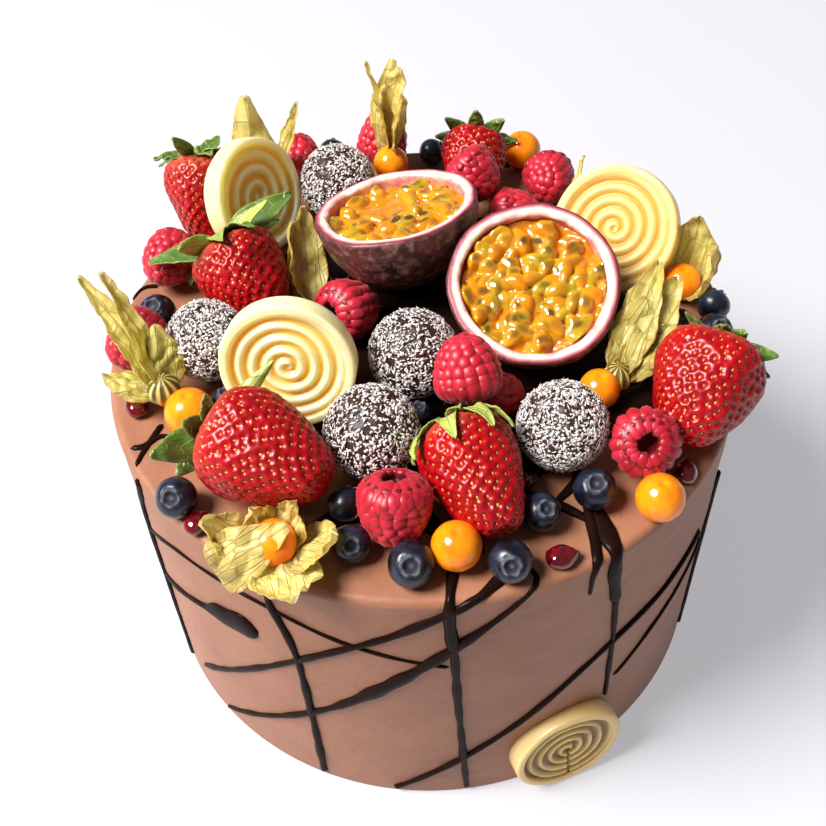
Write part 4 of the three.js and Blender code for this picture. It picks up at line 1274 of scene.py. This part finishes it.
blueberry = {
    "outline": [(0, -0.9), (0.45, -0.82), (0.86, -0.42), (1, 0.05), (0.9, 0.46), (0.66, 0.76), (0.46, 0.86),
                (0.4, 0.99), (0.33, 0.97), (0.27, 0.86), (0.14, 0.83), (0, 0.82)],
    "columns": 44,
    "rows": 46,
    "lumps": 0.09,
    # the lip of the crown, as shares of the berry's radius: how far out it is, how wide, and how far its
    # points stand up and flare out
    "lipAt": 0.38,
    "lipWidth": 0.09,
    "points": 5,
    "pointHeight": 0.12,
    "flare": 0.14,
    "skin": colour(9, 9, 16),
    "bloom": colour(42, 50, 74),
    "crown": colour(92, 96, 110),
    "crownDeep": colour(20, 18, 26),
}


def blueberryForm(size, seed):
    # the crown is a low lip with points round a dip
    columns = blueberry["columns"]
    rings = turnedRings([(r * size, h * size) for r, h in blueberry["outline"]], columns, blueberry["rows"])
    reach = np.hypot(rings[..., 0], rings[..., 1]) / size
    away = (reach - blueberry["lipAt"]) / blueberry["lipWidth"]
    lip = np.exp(-away ** 2) * (rings[..., 2] > 0.7 * size)
    star = 0.5 + 0.5 * np.cos(blueberry["points"] * turns(columns) + seed)
    rings[..., 2] += lip * size * (blueberry["pointHeight"] * star - 0.07)
    rings = widened(rings, lip * blueberry["flare"] * star)
    rings = lumpy(rings, blueberry["lumps"], 7, seed)
    crown = ease(0.54, 0.44, reach) * (rings[..., 2] > 0.55 * size)
    lip = np.maximum(ease(0.26, 0.34, reach) * (0.55 + 0.45 * star), ease(0.1, 0.04, reach))
    return closedForm(rings, crown=crown, lip=lip * crown)


def blueberryBase(tree):
    skin = mottled(tree, blueberry["skin"], blueberry["bloom"], 170, 0.7, 0.55)
    speckled = mottled(tree, blueberry["crown"], blueberry["crownDeep"], 900, 0.6)
    crown = mixed(tree, tone(tree, "lip"), blueberry["crownDeep"], speckled)
    return mixed(tree, tone(tree, "crown"), skin, crown)


def blueberryRoughness(tree):
    return ranged(tree, tone(tree, "crown"), first=0.3, last=0.8)


blueberryFinish = finishOf(
    "Blueberry skin", blueberryBase, fine(600, 0.06), Roughness=blueberryRoughness, Specular_IOR_Level=0.5,
)
for k, (name, look) in enumerate(blueberries.items()):
    form = blueberryForm(look["size"], k + 71)
    turn, shift = seat(name, look, [form])
    makePiece(name + "_fruit", [moved(form, turn, shift)], blueberryFinish, [name])
print("blueberries made")


# Cape gooseberries and their husks

def sheet(heading, rise, length, width, bend, cup=2, **more):
    # one sheet of a husk: the way that it runs, and its form
    size = {"length": length, "width": width, "bend": bend, "cup": cup}
    return {"heading": heading, "rise": rise, **size, **more}


gooseberries = {
    "physalis_rear_husk": topping(-7.4, 76.5, radius=6.2, blades=[
        sheet(180, 82, 35, 14, 25, cup=0, start=(2, 2, 3), twist=50),
        sheet(60, 80, 33, 13, -12, cup=0, start=(-2, 4, 3), twist=40),
        sheet(200, 84, 38, 10, -8, cup=0, start=(0, 4, 3), twist=-30),
    ]),
    "physalis_rear": topping(40.6, 87.4, radius=6.9),
    "physalis_left_husk": topping(-70.2, -34.2, radius=7.6, green=0.5, knob=5, root=(-7.9, 7.4, 2.8), blades=[
        sheet(134, 50, 42, 10, -30, blunt=0.25),
        sheet(118, 56, 39, 9, -24, roll=30, blunt=0.25),
        sheet(168, 22, 19, 13, -25, cup=-1.5),
        sheet(96, 62, 20, 15, -24, cup=-1.5),
    ]),
    "physalis_front_husk": topping(-43.6, -82.1, radius=6.8, green=0, blades=[
        sheet(172, 20, 20, 15, 30, start=(-3, 0, -3)),
        sheet(140, 52, 14, 15, 40, start=(-2, 2, -3)),
        sheet(40, 48, 15, 14, 30, start=(2, 2, -3)),
        sheet(-18, 16, 20, 18, 45, start=(4, 0, -3)),
        sheet(-76, 10, 21, 20, 22, start=(2, -3, -3)),
        sheet(14, 30, 24, 17, -14, cup=0, start=(-15.5, -7.6, -1.4), roll=38, blunt=0.2),
    ]),
    "physalis_front": topping(6, -86.1, radius=7),
    "physalis_right": topping(63, -73.3, radius=6.9),
    "physalis_right_husk": topping(52.2, -31.5, radius=6.2, green=0.4, knob=4.5, root=(6, 4, 1), blades=[
        sheet(62, 42, 38, 13, -26),
        sheet(46, 36, 36, 17, -26, roll=20),
        sheet(26, 30, 24, 12, -30, roll=30),
    ]),
    "physalis_right_rear": topping(85.3, 13.5, radius=6.2, green=0.3, blades=[
        sheet(60, 52, 26, 19, 40, start=(1, 2, -4)),
        sheet(-20, 44, 24, 18, 60, start=(2, -1, -4)),
    ]),
    "husk_rear_left": topping(-55.5, 76, blades=[
        sheet(100, 84, 38, 20, -8, cup=-2, blunt=0.2),
        sheet(0, 62, 44, 6, 20, cup=1, start=(2, 1, 2), roll=50),
        sheet(168, 50, 25, 7, -40, cup=1, start=(-1, 2, 2)),
    ]),
    "husk_middle": topping(-35.5, 14, green=0.2, blades=[
        sheet(95, 52, 34, 14, -10, twist=40),
        sheet(120, 48, 30, 11, 20, roll=40),
    ]),
    "husk_rear_right": topping(53.8, 46, blades=[
        sheet(100, 84, 31, 6, 10, cup=1, roll=90),
        sheet(20, 75, 29, 5, 10, cup=1, roll=90),
    ]),
    "physalis_rear_left": topping(-66, 40.5, radius=4.2),
}
gooseberry = {
    "orange": colour(250, 150, 16),
    "deep": colour(240, 112, 8),
    "columns": 56,
    "rows": 36,
    "knobColumns": 60,
    "knobRows": 30,
    "ribs": 10,
    "dip": 0.12,
    "green": 0.1,
    "sheet": {"crumple": 0.75, "pleats": 0.16, "frill": 1.2, "keel": 1.3, "thickness": 0.2, "rows": 52,
              "columns": 33},
}


def gooseberryForms(look, seed):
    berries, husks = [], []
    if "radius" in look:
        radius, columns = look["radius"], gooseberry["columns"]
        rings = roundRings(radius, columns, gooseberry["rows"])
        rings = widened(rings, 0.006 * np.cos(9 * turns(columns)))
        pole = np.exp(-(np.hypot(rings[..., 0], rings[..., 1]) / 1.2) ** 2) * np.sign(rings[..., 2])
        rings[..., 2] -= gooseberry["dip"] * radius * pole
        berries.append(closedForm(rings))
    if "knob" in look:
        husks.append(moved(knobForm(look["knob"], seed), None, look["root"]))
    for k, given in enumerate(look.get("blades", [])):
        given = {"start": look.get("root", (0, 0, 0)), "roll": 0, **given}
        start, heading, rise, roll = [given.pop(key) for key in ("start", "heading", "rise", "roll")]
        form = blade(**given, **gooseberry["sheet"], seed=seed * 7 + k)
        form["pale"] = np.full(len(form["points"]), look.get("green", gooseberry["green"]))
        husks.append(lying(form, heading, rise, start, roll))
    return berries, husks


def knobForm(size, seed):
    # the gathered foot of a husk, with ribs running to its stalk
    around = turns(gooseberry["knobColumns"])
    rings = roundRings(size, len(around), gooseberry["knobRows"])
    ribs = np.cos(gooseberry["ribs"] * around + seed)
    rings = widened(rings, 0.05 * ribs)
    along = rings[..., 2] + size
    stripes = ease(0.8, 0.0, ribs) * ease(0.4, 1.2, along / size)
    return closedForm(rings, along=along, across=around * size + 0 * along, edge=0 * along, foot=stripes)


berryFinish = finishOf(
    "Cape gooseberry skin", patches(gooseberry["orange"], gooseberry["deep"], 120, 0.8), fine(400, 0.02),
    soft=(0.35, (4, 1.8, 0.4)), Roughness=0.19,
)
for k, (name, look) in enumerate(gooseberries.items()):
    berries, husks = gooseberryForms(look, k + 91)
    turn, shift = seat(name, look, berries + husks)
    stands = [name]
    for forms, ending, finish, slot in ((berries, "_berry", berryFinish, "physalis"),
                                        (husks, "_sheets", huskFinish, "husk")):
        if forms:
            makePiece(name + ending, [moved(form, turn, shift) for form in forms], finish, stands)
            stands = []
print("cape gooseberries made")


# The studio: floor, light and camera

studio = {
    "floorSize": 12,
    "floor": colour(157, 156, 159),
    "floorDeep": colour(153, 152, 156),
    "glow": colour(250, 249, 255),
    "glowStrength": 0.395,
    "sky": colour(250, 246, 246),
    "skyStrength": 0.17,
    # the lights: power, place and size
    "lights": {"key": (156.0, (-1.5, -0.36, 2.14), 1.2), "fill": (0.15, (0.3, -1.4, 0.7), 1.2)},
    "aim": (0, 0, 0.08),
    # the photo's view, in the cake's frame: where the camera is, the ways to its right, up and back, and the
    # distance to the picture in pixels with the picture's width
    "camera": (-3.93, -262.36, 383.92),
    "ways": ((0.9988, -0.0368, -0.0321), (0.0488, 0.7525, 0.6568), (0.0, -0.6576, 0.7534)),
    "focus": 1154.4,
    "pictureWidth": 826,
    "sensor": 36.0,
}


def makeStudio():
    bpy.ops.mesh.primitive_plane_add(size=studio["floorSize"])
    floor = bpy.context.object
    floor.name = "floor"
    finish = finishOf("Pale floor", patches(studio["floor"], studio["floorDeep"], 3, 0.3), Roughness=0.8,
                      Emission_Color=studio["glow"], Emission_Strength=studio["glowStrength"])
    floor.data.materials.append(finish)
    for name, (power, place, size) in studio["lights"].items():
        light = bpy.data.lights.new(name, "AREA")
        light.shape = "DISK"
        light.size = size
        light.energy = power
        made = added(name, light)
        made.location = place
        made.rotation_euler = (Vector(place) - Vector(studio["aim"])).to_track_quat("Z", "Y").to_euler()
    world = bpy.data.worlds.new("studio")
    world.use_nodes = True
    sky = world.node_tree.nodes["Background"]
    sky.inputs["Color"].default_value = studio["sky"]
    sky.inputs["Strength"].default_value = studio["skyStrength"]
    bpy.context.scene.world = world
    bpy.context.scene.view_settings.view_transform = "Standard"


def makeCamera():
    lens = bpy.data.cameras.new("camera")
    lens.sensor_width = studio["sensor"]
    lens.lens = studio["focus"] / studio["pictureWidth"] * studio["sensor"]
    lens.clip_start = 0.01
    made = added("camera", lens)
    turn = Matrix(studio["ways"]).transposed()
    made.matrix_world = Matrix.Translation(Vector(studio["camera"]) * mm) @ turn.to_4x4()
    bpy.context.scene.camera = made


makeStudio()
makeCamera()
print("studio made")
